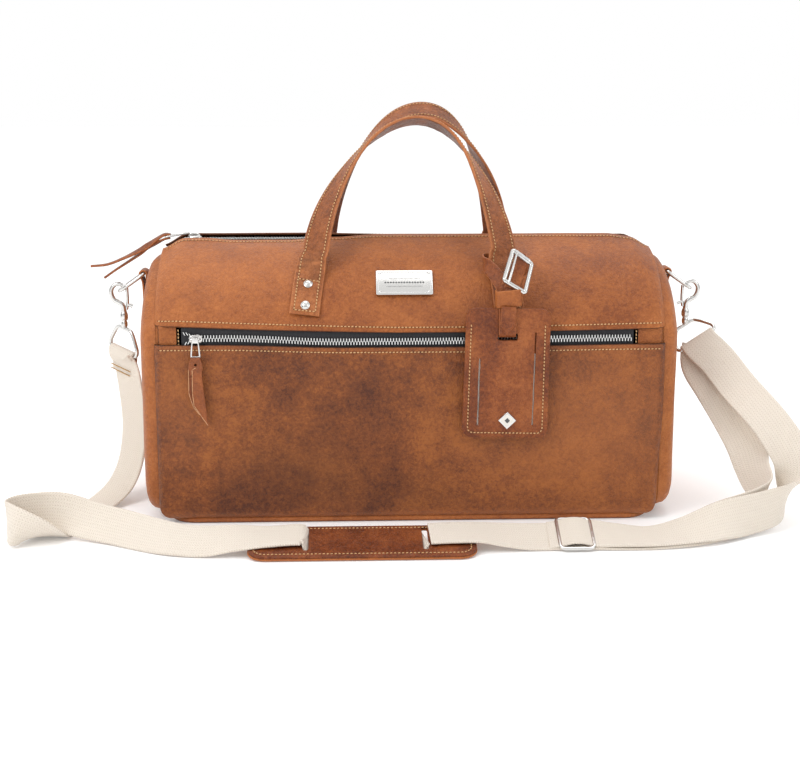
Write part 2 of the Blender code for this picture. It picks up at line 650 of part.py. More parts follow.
def make_dring(side, hand):
    pivot, out = ring_frame(side)
    points = [pivot + Vector((0, y, 0)) for y in (-RING_HALF + 2, 0.0, RING_HALF - 2)]
    points.append(pivot + Vector((0, RING_HALF, 0)) + out * 2.0)
    for k in range(9):
        angle = math.pi * k / 8
        points.append(pivot + out * (RING_ARM + RING_HALF * math.sin(angle))
                      + Vector((0, RING_HALF * math.cos(angle), 0)))
    points.append(pivot + Vector((0, -RING_HALF, 0)) + out * 2.0)
    wire("dring_" + hand, points, WIRE, metal(), pivot, closed=True)
    inner, outer = WIRE + GAP + 0.2, WIRE + GAP + 2.4
    foot_z = 204.0
    loop = [(pivot.x - side * outer, foot_z), (pivot.x + side * -1.0, foot_z)]
    for k in range(9):
        angle = -math.pi * 0.36 + (math.pi * 1.36) * k / 8
        loop.append((pivot.x + side * outer * math.cos(angle), pivot.z + outer * math.sin(angle)))
    hole = [(pivot.x + inner * math.cos(a), pivot.z + inner * math.sin(a))
            for a in (2 * math.pi * k / 12 for k in range(12))]
    plate("dring_tab_" + hand, loop, [hole], 20.0, lambda a, b, c: Vector((a, c - 10.0, b)), leather())


def make_snap(side, hand, bar, drop):
    """Trigger snap: hook with its shank, spring bolt with thumb knob, and the eye the webbing folds over."""
    pivot, _ = ring_frame(side)
    def at(x, z):
        return Vector((side * x, 0, z))
    hook = [at(288.5, 179), at(288.5, 190), at(288.7, 197.5), at(292, 200.8), at(297.5, 203.5), at(300.2, 208.5),
            at(300.4, 214), at(297.5, 218.6), at(292.8, 220.3), at(288.4, 218.8)]
    wire("snap_hook_" + hand, hook, 2.1, metal(), pivot)
    bolt = [at(284.4, 215.8), at(284.4, 205), at(284.2, 199), at(280.4, 196.5)]
    wire("snap_bolt_" + hand, bolt, 1.5, metal(), pivot)
    top = at(288.5, 174.2)
    along, down = bar.normalized(), drop.normalized()
    shape = [(-8, 0), (8, 0), (13, 3), (20, 14), (22, 19), (21, 23), (17, 25), (-17, 25), (-21, 23), (-22, 19),
             (-20, 14), (-13, 3)]
    wire("snap_eye_" + hand, [top + along * a + down * b for a, b in shape], 1.9, metal(), pivot, closed=True)


LEFT_BAR, LEFT_DROP = Vector((0.70, -0.70, -0.16)), Vector((-0.09, 0.09, -0.99))
RIGHT_BAR, RIGHT_DROP = Vector((0.84, 0.05, 0.54)), Vector((0.33, -0.66, -0.45))

# Stations of the webbing: place of its middle and direction across it
STRAP_LEFT = [
    (-289, 1, 136, 0.70, -0.70, -0.06), (-285, -3, 118, 0.72, -0.69, 0), (-281, -8, 76, 0.72, -0.69, 0),
    (-284, -14, 43, 0.72, -0.69, 0), (-293, -26, 19, 0.74, -0.67, 0), (-307, -44, 6, 0.77, -0.63, 0),
    (-321, -68, 1.9, 0.82, -0.57, 0), (-331, -96, 1.8, 0.9, -0.43, 0), (-338, -124, 2.1, 0.95, -0.3, 0),
    (-343, -149, 2.7, 0.94, -0.33, 0.02), (-348, -168, 9, 0.8, -0.42, 0.4), (-356, -180, 16.2, 0.45, -0.34, 0.8),
    (-369, -183.5, 22, 0.26, 0, 0.98), (-378.5, -168, 23, 0, 0, 1), (-373, -159, 25, 0, 0.05, 1),
    (-357, -153, 26, 0, 0.05, 1), (-333, -149, 24.5, 0, 0.3, 0.95), (-305, -154, 18, 0, 0.6, 0.8),
    (-276, -165, 14.5, 0, 0.76, 0.65), (-248, -181, 12.5, 0, 0.82, 0.57), (-222, -194, 11.5, 0, 0.86, 0.5),
    (-194, -200, 11.2, 0, 0.86, 0.5), (-166, -200, 13.9, 0, 0.93, 0.36), (-134, -198, 14.2, 0, 0.98, 0.2),
    (-105, -196, 14.8, 0, 0.98, 0.2)]
STRAP_RIGHT_LOWER = [
    (13, -196, 14.6, 0, 0.98, 0.2), (36, -195, 14.8, 0, 0.98, 0.2), (60, -194, 14.4, 0, 0.98, 0.2),
    (84, -192.5, 11.4, 0, 0.95, 0.3),
    (110, -191, 8.9, 0, 0.92, 0.38), (149, -190, 8.9, 0, 0.92, 0.38), (185, -191, 6.6, 0, 0.96, 0.27),
    (222, -190, 4.8, 0, 0.98, 0.18), (256, -185, 8.6, 0, 0.92, 0.39), (286, -174.5, 15.3, 0, 0.66, 0.75),
    (312, -163.5, 19.8, 0, 0.25, 0.97), (331, -152, 24.5, 0.1, 0.1, 0.99), (341, -136, 32, 0.22, 0, 0.97),
    (338, -110, 46, 0.5, 0, 0.86), (335, -87, 66, 0.82, 0.05, 0.57), (325, -66, 89, 0.86, 0.05, 0.5),
    (311, -47, 115, 0.86, 0.05, 0.5), (299, -29, 138, 0.85, 0.05, 0.53), (295, -16.5, 151.0, 0.84, 0.05, 0.54)]
STRAP_RIGHT_UPPER = [
    (170, -191.2, 11.2, 0, 0.92, 0.38), (190, -191.5, 9.6, 0, 0.96, 0.27), (222, -190.8, 8.0, 0, 0.98, 0.18),
    (257, -186.8, 12.4, 0, 0.92, 0.39), (288, -179.5, 18.0, 0, 0.66, 0.75), (318, -169.5, 21.2, 0, 0.25, 0.97),
    (345, -158.5, 25, 0.1, 0.1, 0.99), (359, -148, 31, 0.3, -0.05, 0.95), (368, -135, 42, 0.6, -0.15, 0.8),
    (370.5, -124, 63.5, 0.8, -0.1, 0.6), (355, -99, 92.5, 0.86, 0.05, 0.5), (331, -62, 122, 0.86, 0.05, 0.5),
    (315, -39, 144, 0.85, 0.05, 0.53), (302, -22, 158, 0.84, 0.05, 0.54)]


def make_strap():
    for name, stations in (("strap_left", STRAP_LEFT), ("strap_right_lower", STRAP_RIGHT_LOWER),
                           ("strap_right_upper", STRAP_RIGHT_UPPER)):
        ribbon(name, stations, WEB_WIDTH, WEB_THICK, webbing(), steps=5)
    pad_tilt = math.radians(11.5)
    ahead, up = Vector((0, math.cos(pad_tilt), math.sin(pad_tilt))), Vector((0, -math.sin(pad_tilt),
                                                                            math.cos(pad_tilt)))
    pad_centre = Vector((-49, -201, 7.2))
    slots = [[(a + shift, b + 4) for a, b in rounded_rectangle(5, 41, 2, 2)] for shift in (-52, 58)]
    plate("shoulder_pad", rounded_rectangle(210, 60, 9, 3), slots, 4.0,
          lambda a, b, c: pad_centre + Vector((a, 0, 0)) + ahead * b + up * (c - 0.8), leather())
    tilt = math.atan2(0.38, 0.92)
    ahead, up = Vector((0, math.cos(tilt), math.sin(tilt))), Vector((0, -math.sin(tilt), math.cos(tilt)))
    centre = Vector((149, -190, 8.9)) + up * (WEB_THICK / 2 + 0.5)
    windows = [[(a + shift, b) for a, b in rounded_rectangle(11.5, 39.5, 2.5, 3)] for shift in (-8.2, 8.2)]
    plate("strap_slider", rounded_rectangle(35, 46, 6, 4), windows, 2.6,
          lambda a, b, c: centre + Vector((a, 0, 0)) + ahead * b + up * c, metal())


def main():
    for old in list(bpy.data.objects):
        bpy.data.objects.remove(old, do_unlink=True)
    make_panels()
    make_gusset("left_gusset", -1)
    make_gusset("right_gusset", 1)
    make_base()
    make_lining()
    make_top_zip()
    make_pocket_zip()
    make_handles()
    make_name_plate()
    make_tag()
    make_tag_strap()
    for side, hand, bar, drop in ((-1, "left", LEFT_BAR, LEFT_DROP), (1, "right", RIGHT_BAR, RIGHT_DROP)):
        make_dring(side, hand)
        make_snap(side, hand, bar, drop)
    make_strap()


main()
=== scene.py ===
"""Looks of the weekender bag: sewn leather shell, metal zips, handles, luggage tag and cotton webbing strap.

Lengths in this script are in millimetres and are turned into metres when a mesh is made.
+X runs along the bag, -Y is its front and +Z is up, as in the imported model.
"""
import math

import bmesh
import bpy
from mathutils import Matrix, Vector, noise


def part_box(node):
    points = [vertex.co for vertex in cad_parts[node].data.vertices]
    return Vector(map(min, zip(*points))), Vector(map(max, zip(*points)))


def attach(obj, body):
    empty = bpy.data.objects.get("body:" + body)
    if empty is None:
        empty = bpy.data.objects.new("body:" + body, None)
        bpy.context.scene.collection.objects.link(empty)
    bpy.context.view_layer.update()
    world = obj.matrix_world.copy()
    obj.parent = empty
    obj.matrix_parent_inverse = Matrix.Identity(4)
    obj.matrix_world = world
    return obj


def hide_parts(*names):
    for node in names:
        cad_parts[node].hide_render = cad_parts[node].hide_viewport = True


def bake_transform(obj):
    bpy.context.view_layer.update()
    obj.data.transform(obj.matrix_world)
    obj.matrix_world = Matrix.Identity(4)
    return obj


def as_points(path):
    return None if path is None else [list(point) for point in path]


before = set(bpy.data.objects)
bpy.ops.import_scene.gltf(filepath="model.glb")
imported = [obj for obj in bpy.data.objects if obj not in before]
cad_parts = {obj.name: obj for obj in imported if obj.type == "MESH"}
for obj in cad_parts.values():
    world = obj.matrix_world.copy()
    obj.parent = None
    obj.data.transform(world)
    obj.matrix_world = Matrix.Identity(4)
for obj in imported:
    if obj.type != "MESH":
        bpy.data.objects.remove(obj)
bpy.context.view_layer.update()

MM = 0.001
X, Y, Z = Vector((1, 0, 0)), Vector((0, 1, 0)), Vector((0, 0, 1))


def box_mm(node):
    """Lowest and highest corner of a CAD node, in millimetres."""
    low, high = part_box(node)
    return low / MM, high / MM


UPPER_LOW, UPPER_HIGH = box_mm("front_upper_panel")
HALF_LENGTH = UPPER_HIGH.x       # middle to the seam between a panel and its gusset
HALF_DEPTH = -UPPER_LOW.y        # middle to the outer face of the front
FLAP_EDGE = UPPER_LOW.z          # lower edge of the upper panel, over the pocket zip
RIDGE = UPPER_HIGH.z             # height of the top edge
POCKET_TOP = box_mm("front_pocket_panel")[1].z
BASE_TOP = box_mm("bottom_panel")[1].z
END_BULGE = box_mm("right_gusset")[1].x - HALF_LENGTH
SHOULDER = 192.0                 # where the upper panels start to lean in
MOUTH_HALF = 14.5                # half the width of the top zip's slot
LEAN_Y, LEAN_Z = 88.0, 256.0     # control point of the curve from shoulder to ridge
FLAT_TOP = 222.0                 # the ridge is level out to here
END_DROP = 0.145                 # share of the upper height that is lost at the gusset seam
LEATHER = 2.4
TAPE_LEFT, TAPE_RIGHT = -218.0, 212.5
POCKET_TEETH_Z = 181.2

STRAP_WIDTH = 29.0
STRAP_THICK = 3.2
HANDLE_HALF = 91.0
HINGE_Y, HINGE_Z = 73.5, 262.0
FRONT_APEX_Z, REAR_APEX_Z = 384.0, 393.0
APEX_Y = 17.0
TAB_SPREAD = 7.0
RIVET_STEPS = (0.17, 0.345)

WEB_WIDTH = 38.0
WEB_THICK = 2.0
RING_PIVOT = Vector((266.5, 0.0, 231.0))
RING_SLOPE = math.radians(35.0)

TAG_X, TAG_TOP, TAG_WIDTH, TAG_HEIGHT = 90.0, 213.0, 81.0, 125.0
TAG_BACK_Y = -123.0
TAG_TILT = math.radians(1.2)

STITCH_PITCH = 3.4               # distance from one needle hole to the next
STITCH_FILL = 0.62               # share of the pitch that shows as thread
STITCH_RADIUS = 0.58
STITCH_SLANT = 0.16              # how far each stitch leans off the row's line, at both ends
HOLE_SIDES = 8
PANEL_FOOT = BASE_TOP - 3.0      # the walls tuck under down to here
UPPER_ROLL = 14.0                # radius that an upper panel's ends roll round
WALL_ROLL = 9.0                  # the same for the pocket panel and the rear
FLAP_SLOPE = 2 * (LEAN_Z - SHOULDER)     # drop of the flap for each unit of t below 0


# ---------------------------------------------------------------- small helpers

def smoothstep(low, high, value):
    """Eases from 0 at low to 1 at high, whichever of the two is larger."""
    t = min(max((value - low) / (high - low), 0.0), 1.0)
    return t * t * (3 - 2 * t)


def spread(low, high, count):
    return [low + (high - low) * k / (count - 1) for k in range(count)]


def ripple(point, size, seed=0.0):
    """Smooth noise from -1 to 1 whose lumps are about this size in millimetres."""
    return noise.noise(Vector(point) / size + Vector((seed, seed * 0.7, -seed)))


def smooth_points(points, steps):
    """Points on a Catmull-Rom curve through the given vectors, of any length."""
    count = len(points)
    out = []
    for i in range(count - 1):
        a, b = points[max(i - 1, 0)], points[i]
        c, d = points[i + 1], points[min(i + 2, count - 1)]
        for k in range(steps):
            t = k / steps
            out.append([0.5 * (2 * q + (r - p) * t + (2 * p - 5 * q + 4 * r - s) * t * t
                               + (3 * q - p - 3 * r + s) * t ** 3)
                        for p, q, r, s in zip(a, b, c, d)])
    out.append(list(points[-1]))
    return out


def add_mesh(name, points, faces, mat, uvs=None, shades=None, sharp=40):
    """Make an object from points in millimetres; uvs and shades hold one value for each point."""
    data = bpy.data.meshes.new(name)
    data.from_pydata([Vector(p) * MM for p in points], [], faces)
    work = bmesh.new()
    work.from_mesh(data)
    bmesh.ops.recalc_face_normals(work, faces=work.faces)
    work.to_mesh(data)
    work.free()
    if uvs:
        layer = data.uv_layers.new(name="UVMap")
        for loop in data.loops:
            layer.data[loop.index].uv = uvs[loop.vertex_index]
    if shades:
        layer = data.attributes.new("shade", "FLOAT", "POINT")
        layer.data.foreach_set("value", shades)
    data.shade_smooth()
    data.set_sharp_from_angle(angle=math.radians(sharp))
    data.materials.append(mat)
    thing = bpy.data.objects.new(name, data)
    bpy.context.scene.collection.objects.link(thing)
    return thing


def fit(thing, body, slot, *nodes):
    """Let a piece ride on a body and stand for CAD nodes; slot is not used."""
    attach(thing, body)
    if nodes:
        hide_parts(*nodes)
    return thing


def ring_faces(rings, count, closed_row=False, caps=True):
    """Faces that skin rings of equal size, with flat caps at both ends."""
    faces = []
    spans = rings if closed_row else rings - 1
    for i in range(spans):
        here, there = i * count, (i + 1) % rings * count
        for j in range(count):
            k = (j + 1) % count
            faces.append((here + j, here + k, there + k, there + j))
    if caps and not closed_row:
        faces.append(tuple(range(count)))
        last = (rings - 1) * count
        faces.append(tuple(range(last + count - 1, last - 1, -1)))
    return faces


def frames(centres, hints, closed=False):
    """Direction ahead, direction across and face normal at each point of a path."""
    out = []
    count = len(centres)
    for i, centre in enumerate(centres):
        if closed:
            ahead = centres[(i + 1) % count] - centres[i - 1]
        else:
            ahead = centres[min(i + 1, count - 1)] - centres[max(i - 1, 0)]
        ahead.normalize()
        across = Vector(hints[i])
        across = (across - ahead * across.dot(ahead)).normalized()
        out.append((ahead, across, ahead.cross(across)))
    return out


class Path:
    """A strap's centre line: stations of (x, y, z, width direction x, y, z), sampled finely."""

    def __init__(self, stations, pitch=2.5):
        rough = smooth_points(stations, 12)
        rows = [rough[0]]
        for row in rough[1:]:
            if (Vector(row[:3]) - Vector(rows[-1][:3])).length >= pitch:
                rows.append(row)
        rows[-1] = rough[-1]
        self.centres = [Vector(row[:3]) for row in rows]
        self.frames = frames(self.centres, [row[3:6] for row in rows])
        self.marks = [0.0]
        for a, b in zip(self.centres, self.centres[1:]):
            self.marks.append(self.marks[-1] + (b - a).length)
        self.length = self.marks[-1]

    def at(self, mark, side=0.0, lift=0.0):
        """Point and face normal at a distance along the path, moved sideways and off the face."""
        mark = min(max(mark, 0.0), self.length)
        k = 0
        while k < len(self.marks) - 2 and self.marks[k + 1] < mark:
            k += 1
        share = (mark - self.marks[k]) / (self.marks[k + 1] - self.marks[k])
        centre = self.centres[k].lerp(self.centres[k + 1], share)
        across = self.frames[k][1].lerp(self.frames[k + 1][1], share).normalized()
        face = self.frames[k][2].lerp(self.frames[k + 1][2], share).normalized()
        return centre + across * side + face * lift, face

    def points_m(self):
        return [c * MM for c in self.centres]


def band(name, path, width, thickness, mat, columns=12, edge_steps=3, relief=None, width_at=None,
         shade=None):
    """Flat strap with rounded edges along a path. relief(mark, side, face sign) lifts the surface."""
    section = []
    half, r = width / 2, thickness / 2
    for a in spread(-half + r, half - r, columns):
        section.append((a, r, 1))
    for k in range(1, edge_steps + 1):
        angle = math.pi / 2 - math.pi * k / (edge_steps + 1)
        section.append((half - r + r * math.cos(angle), r * math.sin(angle), 0))
    for a in spread(half - r, -half + r, columns):
        section.append((a, -r, -1))
    for k in range(1, edge_steps + 1):
        angle = -math.pi / 2 - math.pi * k / (edge_steps + 1)
        section.append((-half + r + r * math.cos(angle), r * math.sin(angle), 0))
    points, uvs, shades = [], [], []
    for i, centre in enumerate(path.centres):
        _, across, face = path.frames[i]
        mark = path.marks[i]
        scale = width_at(mark) if width_at else 1.0
        for a, c, sign in section:
            lift = relief(mark, a, sign) * sign if relief and sign else 0.0
            points.append(centre + across * a * scale + face * (c + lift))
            uvs.append((a * MM, mark * MM))
            if shade:
                shades.append(shade(mark, a, sign))
    faces = ring_faces(len(path.centres), len(section))
    return add_mesh(name, points, faces, mat, uvs, shades, sharp=75)


def tube(name, points, radius, mat, sides=12, closed=False, radius_at=None):
    """Round bar of wire along a smooth curve through points in millimetres."""
    base = [list(p) for p in points]
    if closed:
        wrapped = smooth_points([base[-1]] + base + [base[0], base[1]], 6)
        rows = wrapped[6:6 * (len(base) + 1)]
    else:
        rows = smooth_points(base, 6)
    centres = [Vector(row) for row in rows]
    ahead = (centres[1] - centres[0]).normalized()
    across = ahead.orthogonal().normalized()
    hints = []
    for k, centre in enumerate(centres):
        following = centres[(k + 1) % len(centres)] if closed or k + 1 < len(centres) else centre + ahead
        ahead = (following - centre).normalized()
        across = (across - ahead * across.dot(ahead)).normalized()
        hints.append(across.copy())
    marks = frames(centres, hints, closed)
    ring_points = []
    for k, centre in enumerate(centres):
        _, side, face = marks[k]
        r = radius * (radius_at(k / max(len(centres) - 1, 1)) if radius_at else 1.0)
        for j in range(sides):
            angle = 2 * math.pi * j / sides
            ring_points.append(centre + (side * math.cos(angle) + face * math.sin(angle)) * r)
    return add_mesh(name, ring_points, ring_faces(len(centres), sides, closed_row=closed), mat)


def skin(name, grid, thickness, mat, edge_steps=3, shade=None):
    """Closed leather sheet from an outer grid of (point, outward normal), with rounded edges all round."""
    rows, columns = len(grid), len(grid[0])
    r = thickness / 2
    points, shades = [], []

    def edge_direction(i, j):
        inner = grid[min(max(i, 1), rows - 2)][min(max(j, 1), columns - 2)][0]
        point, normal = grid[i][j]
        out = point - inner
        return (out - normal * out.dot(normal)).normalized()

    def add(point, value):
        points.append(point)
        shades.append(value)
        return len(points) - 1

    on_rim = lambda i, j: i in (0, rows - 1) or j in (0, columns - 1)
    outer, inner, mids = {}, {}, {}
    # Inner faces take painted shade (0.6, and 1.0 at the rim's inner corner); the rounded edges take the
    # darker cut-edge tone (0.8).
    for i in range(rows):
        for j in range(columns):
            point, normal = grid[i][j]
            value = shade(i, j, point) if shade else 0.0
            if on_rim(i, j):
                out = edge_direction(i, j)
                middle = point - out * r - normal * r
                outer[i, j] = add(middle + normal * r, value)
                mids[i, j] = []
                for k in range(1, edge_steps + 1):
                    angle = math.pi * k / (edge_steps + 1)
                    turned = normal * r * math.cos(angle) + out * r * math.sin(angle)
                    mids[i, j].append(add(middle + turned, 0.8))
                inner[i, j] = add(middle - normal * r, 1.0)
            else:
                outer[i, j] = add(point, value)
                inner[i, j] = add(point - normal * thickness, 0.6)
    faces = []
    for i in range(rows - 1):
        for j in range(columns - 1):
            quad = ((i, j), (i, j + 1), (i + 1, j + 1), (i + 1, j))
            faces.append(tuple(outer[q] for q in quad))
            faces.append(tuple(inner[q] for q in reversed(quad)))
    rim = [(0, j) for j in range(columns)] + [(i, columns - 1) for i in range(1, rows)]
    rim += [(rows - 1, j) for j in range(columns - 2, -1, -1)] + [(i, 0) for i in range(rows - 2, 0, -1)]
    for k, here in enumerate(rim):
        there = rim[(k + 1) % len(rim)]
        chain_a = [outer[here]] + mids[here] + [inner[here]]
        chain_b = [outer[there]] + mids[there] + [inner[there]]
        for m in range(len(chain_a) - 1):
            faces.append((chain_b[m], chain_a[m], chain_a[m + 1], chain_b[m + 1]))
    return add_mesh(name, points, faces, mat, None, shades, sharp=60)


class Thread:
    """Collects stitches, each a short slanted bead of thread, and makes one object of them."""

    def __init__(self, name):
        self.name = name
        self.points = []
        self.faces = []
        self.hole_faces = set()

    def hole(self, centre, normal, ahead, radius):
        """Dark dot where the needle went through, between two stitches: painted shade in the hole."""
        across = ahead.cross(normal).normalized()
        along = normal.cross(across).normalized()
        first = len(self.points)
        for k in range(HOLE_SIDES):
            angle = 2 * math.pi * k / HOLE_SIDES
            rim = across * math.cos(angle) * radius + along * math.sin(angle) * radius * 0.8
            self.points.append(centre + rim - normal * 0.12)
        self.points.append(centre - normal * 0.5)
        for k in range(HOLE_SIDES):
            self.hole_faces.add(len(self.faces))
            self.faces.append((first + k, first + (k + 1) % HOLE_SIDES, first + HOLE_SIDES))

    def stitch(self, start, end, normal, radius):
        sides = 6
        ahead = end - start
        span = ahead.length
        ahead.normalize()
        across = ahead.cross(normal).normalized()
        first = len(self.points)
        for share, size, rise in ((0.0, 0.35, -0.25), (0.12, 0.85, 0.1), (0.5, 1.0, 0.3), (0.88, 0.85, 0.1),
                                  (1.0, 0.35, -0.25)):
            centre = start + ahead * span * share + normal * radius * rise
            for j in range(sides):
                angle = 2 * math.pi * j / sides
                self.points.append(centre + (across * math.cos(angle) + normal * math.sin(angle) * 0.8)
                                   * radius * size)
        self.faces += [tuple(first + q for q in face) for face in ring_faces(5, sides)]

    def row(self, place, length, pitch, fill, radius):
        """Stitches along place(mark) -> (point, normal), from 0 to length, with a needle hole before each."""
        count = max(int(round(length / pitch)), 1)
        step = length / count
        for k in range(count):
            a, normal = place(k * step + step * (1 - fill) / 2)
            b, _ = place(k * step + step * (1 + fill) / 2)
            if (b - a).length < 0.2:
                continue
            tilt = (b - a).cross(normal).normalized() * STITCH_SLANT
            self.stitch(a + tilt, b - tilt, normal, radius)
            corner, _ = place(k * step)
            self.hole(corner, normal, b - a, radius * 1.25)

    def make(self, mat):
        thing = add_mesh(self.name, self.points, self.faces, mat)
        thing.data.materials.append(HOLE_SHADE)
        for k in self.hole_faces:
            thing.data.polygons[k].material_index = 1
        return thing


def polyline_place(samples):
    """Turn a list of (point, normal) into place(mark) and the line's length."""
    marks = [0.0]
    for a, b in zip(samples, samples[1:]):
        marks.append(marks[-1] + (b[0] - a[0]).length)

    def place(mark):
        k = 0
        while k < len(marks) - 2 and marks[k + 1] < mark:
            k += 1
        share = min(max((mark - marks[k]) / max(marks[k + 1] - marks[k], 1e-6), 0.0), 1.0)
        return samples[k][0].lerp(samples[k + 1][0], share), samples[k][1].lerp(samples[k + 1][1], share)

    return place, marks[-1]


def sewn_row(thread, samples, pitch=STITCH_PITCH):
    """Stitches along a list of (point, normal)."""
    line, length = polyline_place(samples)
    thread.row(line, length, pitch, STITCH_FILL, STITCH_RADIUS)


# ---------------------------------------------------------------- materials

class Graph:
    """Shorthand for the node tree of one material."""

    def __init__(self, name):
        self.mat = bpy.data.materials.new(name)
        self.mat.use_nodes = True
        self.tree = self.mat.node_tree
        self.shader = self.tree.nodes["Principled BSDF"]

    def node(self, kind, inputs, **settings):
        made = self.tree.nodes.new(kind)
        for key, value in settings.items():
            setattr(made, key, value)
        for key, value in inputs.items():
            if isinstance(value, bpy.types.NodeSocket):
                self.tree.links.new(value, made.inputs[key])
            else:
                made.inputs[key].default_value = value
        return made

    def place(self, source="Object"):
        return self.node("ShaderNodeTexCoord", {}).outputs[source]

    def stretch(self, vector, scale):
        return self.node("ShaderNodeMapping", {"Vector": vector, "Scale": scale}).outputs["Vector"]

    def math(self, operation, a, b=0.0, clamp=False):
        return self.node("ShaderNodeMath", {0: a, 1: b}, operation=operation, use_clamp=clamp).outputs[0]

    def noise(self, vector, scale, detail=4.0, roughness=0.55, distortion=0.0):
        made = self.node("ShaderNodeTexNoise", {"Vector": vector, "Scale": scale, "Detail": detail,
                                                "Roughness": roughness, "Distortion": distortion})
        return made.outputs["Fac"]

    def cells(self, vector, scale):
        made = self.node("ShaderNodeTexVoronoi", {"Vector": vector, "Scale": scale},
                         feature="DISTANCE_TO_EDGE")
        return made.outputs["Distance"]

    def attribute(self, name):
        made = self.node("ShaderNodeAttribute", {})
        made.attribute_name = name
        return made.outputs["Fac"]

    def spread(self, value, low, high, to_low, to_high):
        made = self.node("ShaderNodeMapRange", {"Value": value, "From Min": low, "From Max": high,
                                                "To Min": to_low, "To Max": to_high})
        return made.outputs["Result"]

    def ramp(self, value, stops):
        made = self.node("ShaderNodeValToRGB", {"Fac": value})
        elements = made.color_ramp.elements
        while len(elements) < len(stops):
            elements.new(0.5)
        for element, (position, colour) in zip(elements, stops):
            element.position = position
            element.color = (*colour, 1.0)
        return made.outputs["Color"]

    def blend(self, share, first, second):
        values = [(*v, 1.0) if isinstance(v, tuple) else v for v in (first, second)]
        made = self.node("ShaderNodeMixRGB", {"Fac": share, "Color1": values[0], "Color2": values[1]})
        return made.outputs["Color"]

    def bump(self, height, strength, distance):
        inputs = {"Height": height, "Strength": strength, "Distance": distance}
        return self.node("ShaderNodeBump", inputs).outputs["Normal"]

    def finish(self, **values):
        for key, value in values.items():
            name = key.replace("_", " ")
            if isinstance(value, bpy.types.NodeSocket):
                self.tree.links.new(value, self.shader.inputs[name])
            else:
                self.shader.inputs[name].default_value = (*value, 1.0) if isinstance(value, tuple) else value
        return self.mat


def leather(name, dark, middle, light, roughness=0.42, grain=1.0, crease=1.0, patch=7.0):
    """Oiled full-grain leather: mottled colour, pebbled grain, fine creases, dark cut edges."""
    g = Graph(name)
    place = g.place()
    large = g.noise(place, patch, 3.0, 0.5, 0.4)
    medium = g.noise(place, 42.0, 6.0, 0.62)
    fine = g.noise(place, 1100.0, 3.0, 0.6)
    tone = g.math("ADD", g.math("MULTIPLY", large, 0.46), g.math("MULTIPLY", medium, 0.36))
    tone = g.math("ADD", tone, g.math("MULTIPLY", fine, 0.18))
    grain_tone = g.noise(place, 300.0, 5.0, 0.72, 0.6)
    tone = g.math("ADD", tone, g.math("MULTIPLY", g.math("SUBTRACT", grain_tone, 0.5), 0.55))
    colour = g.ramp(tone, [(0.36, dark), (0.50, middle), (0.64, light)])
    # The shade attribute brings painted shade and painted highlight from the meshes, along with darker cut
    # edges and paler worn edges.
    shade = g.attribute("shade")
    darker = tuple(c * 0.22 for c in dark)
    paler = tuple(min(c * 1.25 + 0.02, 1.0) for c in light)
    colour = g.blend(g.math("MULTIPLY", shade, 1.0, clamp=True), colour, darker)    # shade above 0 darkens
    colour = g.blend(g.math("MULTIPLY", shade, -1.0, clamp=True), colour, paler)    # shade below 0 pales
    pebble = g.math("MINIMUM", g.cells(place, 400.0), 0.24)
    fold = g.noise(place, 120.0, 7.0, 0.70, 0.8)
    height = g.math("ADD", g.math("MULTIPLY", pebble, 1.1 * grain), g.math("MULTIPLY", fold, 1.5 * crease))
    height = g.math("ADD", height, g.math("MULTIPLY", fine, 0.25))
    normal = g.bump(height, 0.80, 0.0011)
    rough = g.spread(medium, 0.3, 0.7, roughness - 0.05, roughness + 0.10)
    return g.finish(Base_Color=colour, Roughness=rough, Normal=normal, Specular_IOR_Level=0.32,
                    Coat_Weight=0.04, Coat_Roughness=0.35)


def nickel(name="nickel", roughness=0.16, tint=(0.70, 0.69, 0.67)):
    """Polished nickel plate with faint hairlines and dull spots."""
    g = Graph(name)
    place = g.place()
    cloud = g.noise(place, 180.0, 4.0, 0.6)
    hair = g.noise(g.stretch(place, (300.0, 2400.0, 2400.0)), 1.0, 2.0)
    rough = g.math("ADD", g.spread(cloud, 0.3, 0.7, roughness - 0.04, roughness + 0.07),
                   g.math("MULTIPLY", hair, 0.05))
    colour = g.blend(cloud, tint, tuple(c * 0.93 for c in tint))
    return g.finish(Base_Color=colour, Metallic=1.0, Roughness=rough, Normal=g.bump(hair, 0.05, 0.0001))


def cotton():
    """Coarse cotton webbing: herringbone columns of slanted yarns that follow the strap's own length."""
    g = Graph("cotton_webbing")
    uv = g.node("ShaderNodeSeparateXYZ", {"Vector": g.place("UV")})
    column = g.math("DIVIDE", uv.outputs["X"], 3.1 * MM)
    inside = g.math("PINGPONG", column, 1.0)
    slanted = g.math("ADD", g.math("DIVIDE", uv.outputs["Y"], 2.3 * MM), g.math("MULTIPLY", inside, 1.15))
    yarn = g.math("ABSOLUTE", g.math("SINE", g.math("MULTIPLY", slanted, math.pi)))
    rib = g.math("ABSOLUTE", g.math("SINE", g.math("MULTIPLY", column, math.pi)))
    height = g.math("ADD", g.math("POWER", yarn, 0.6), g.math("MULTIPLY", g.math("POWER", rib, 0.5), 0.55))
    place = g.place()
    fuzz = g.noise(place, 2600.0, 3.0, 0.7)
    cloud = g.noise(place, 30.0, 4.0, 0.6)
    height = g.math("ADD", height, g.math("MULTIPLY", fuzz, 0.5))
    # The colour follows the weave's depth: painted shade in the hollows between yarns.
    depth = g.spread(height, 0.35, 1.5, 0.0, 1.0)
    colour = g.ramp(depth, [(0.0, (0.34, 0.27, 0.20)), (0.45, (0.62, 0.54, 0.45)), (0.9, (0.76, 0.69, 0.60))])
    colour = g.blend(g.math("MULTIPLY", cloud, 0.25), colour, (0.68, 0.58, 0.48))
    return g.finish(Base_Color=colour, Roughness=0.92, Normal=g.bump(height, 0.7, 0.0004),
                    Sheen_Weight=0.25, Sheen_Roughness=0.6)


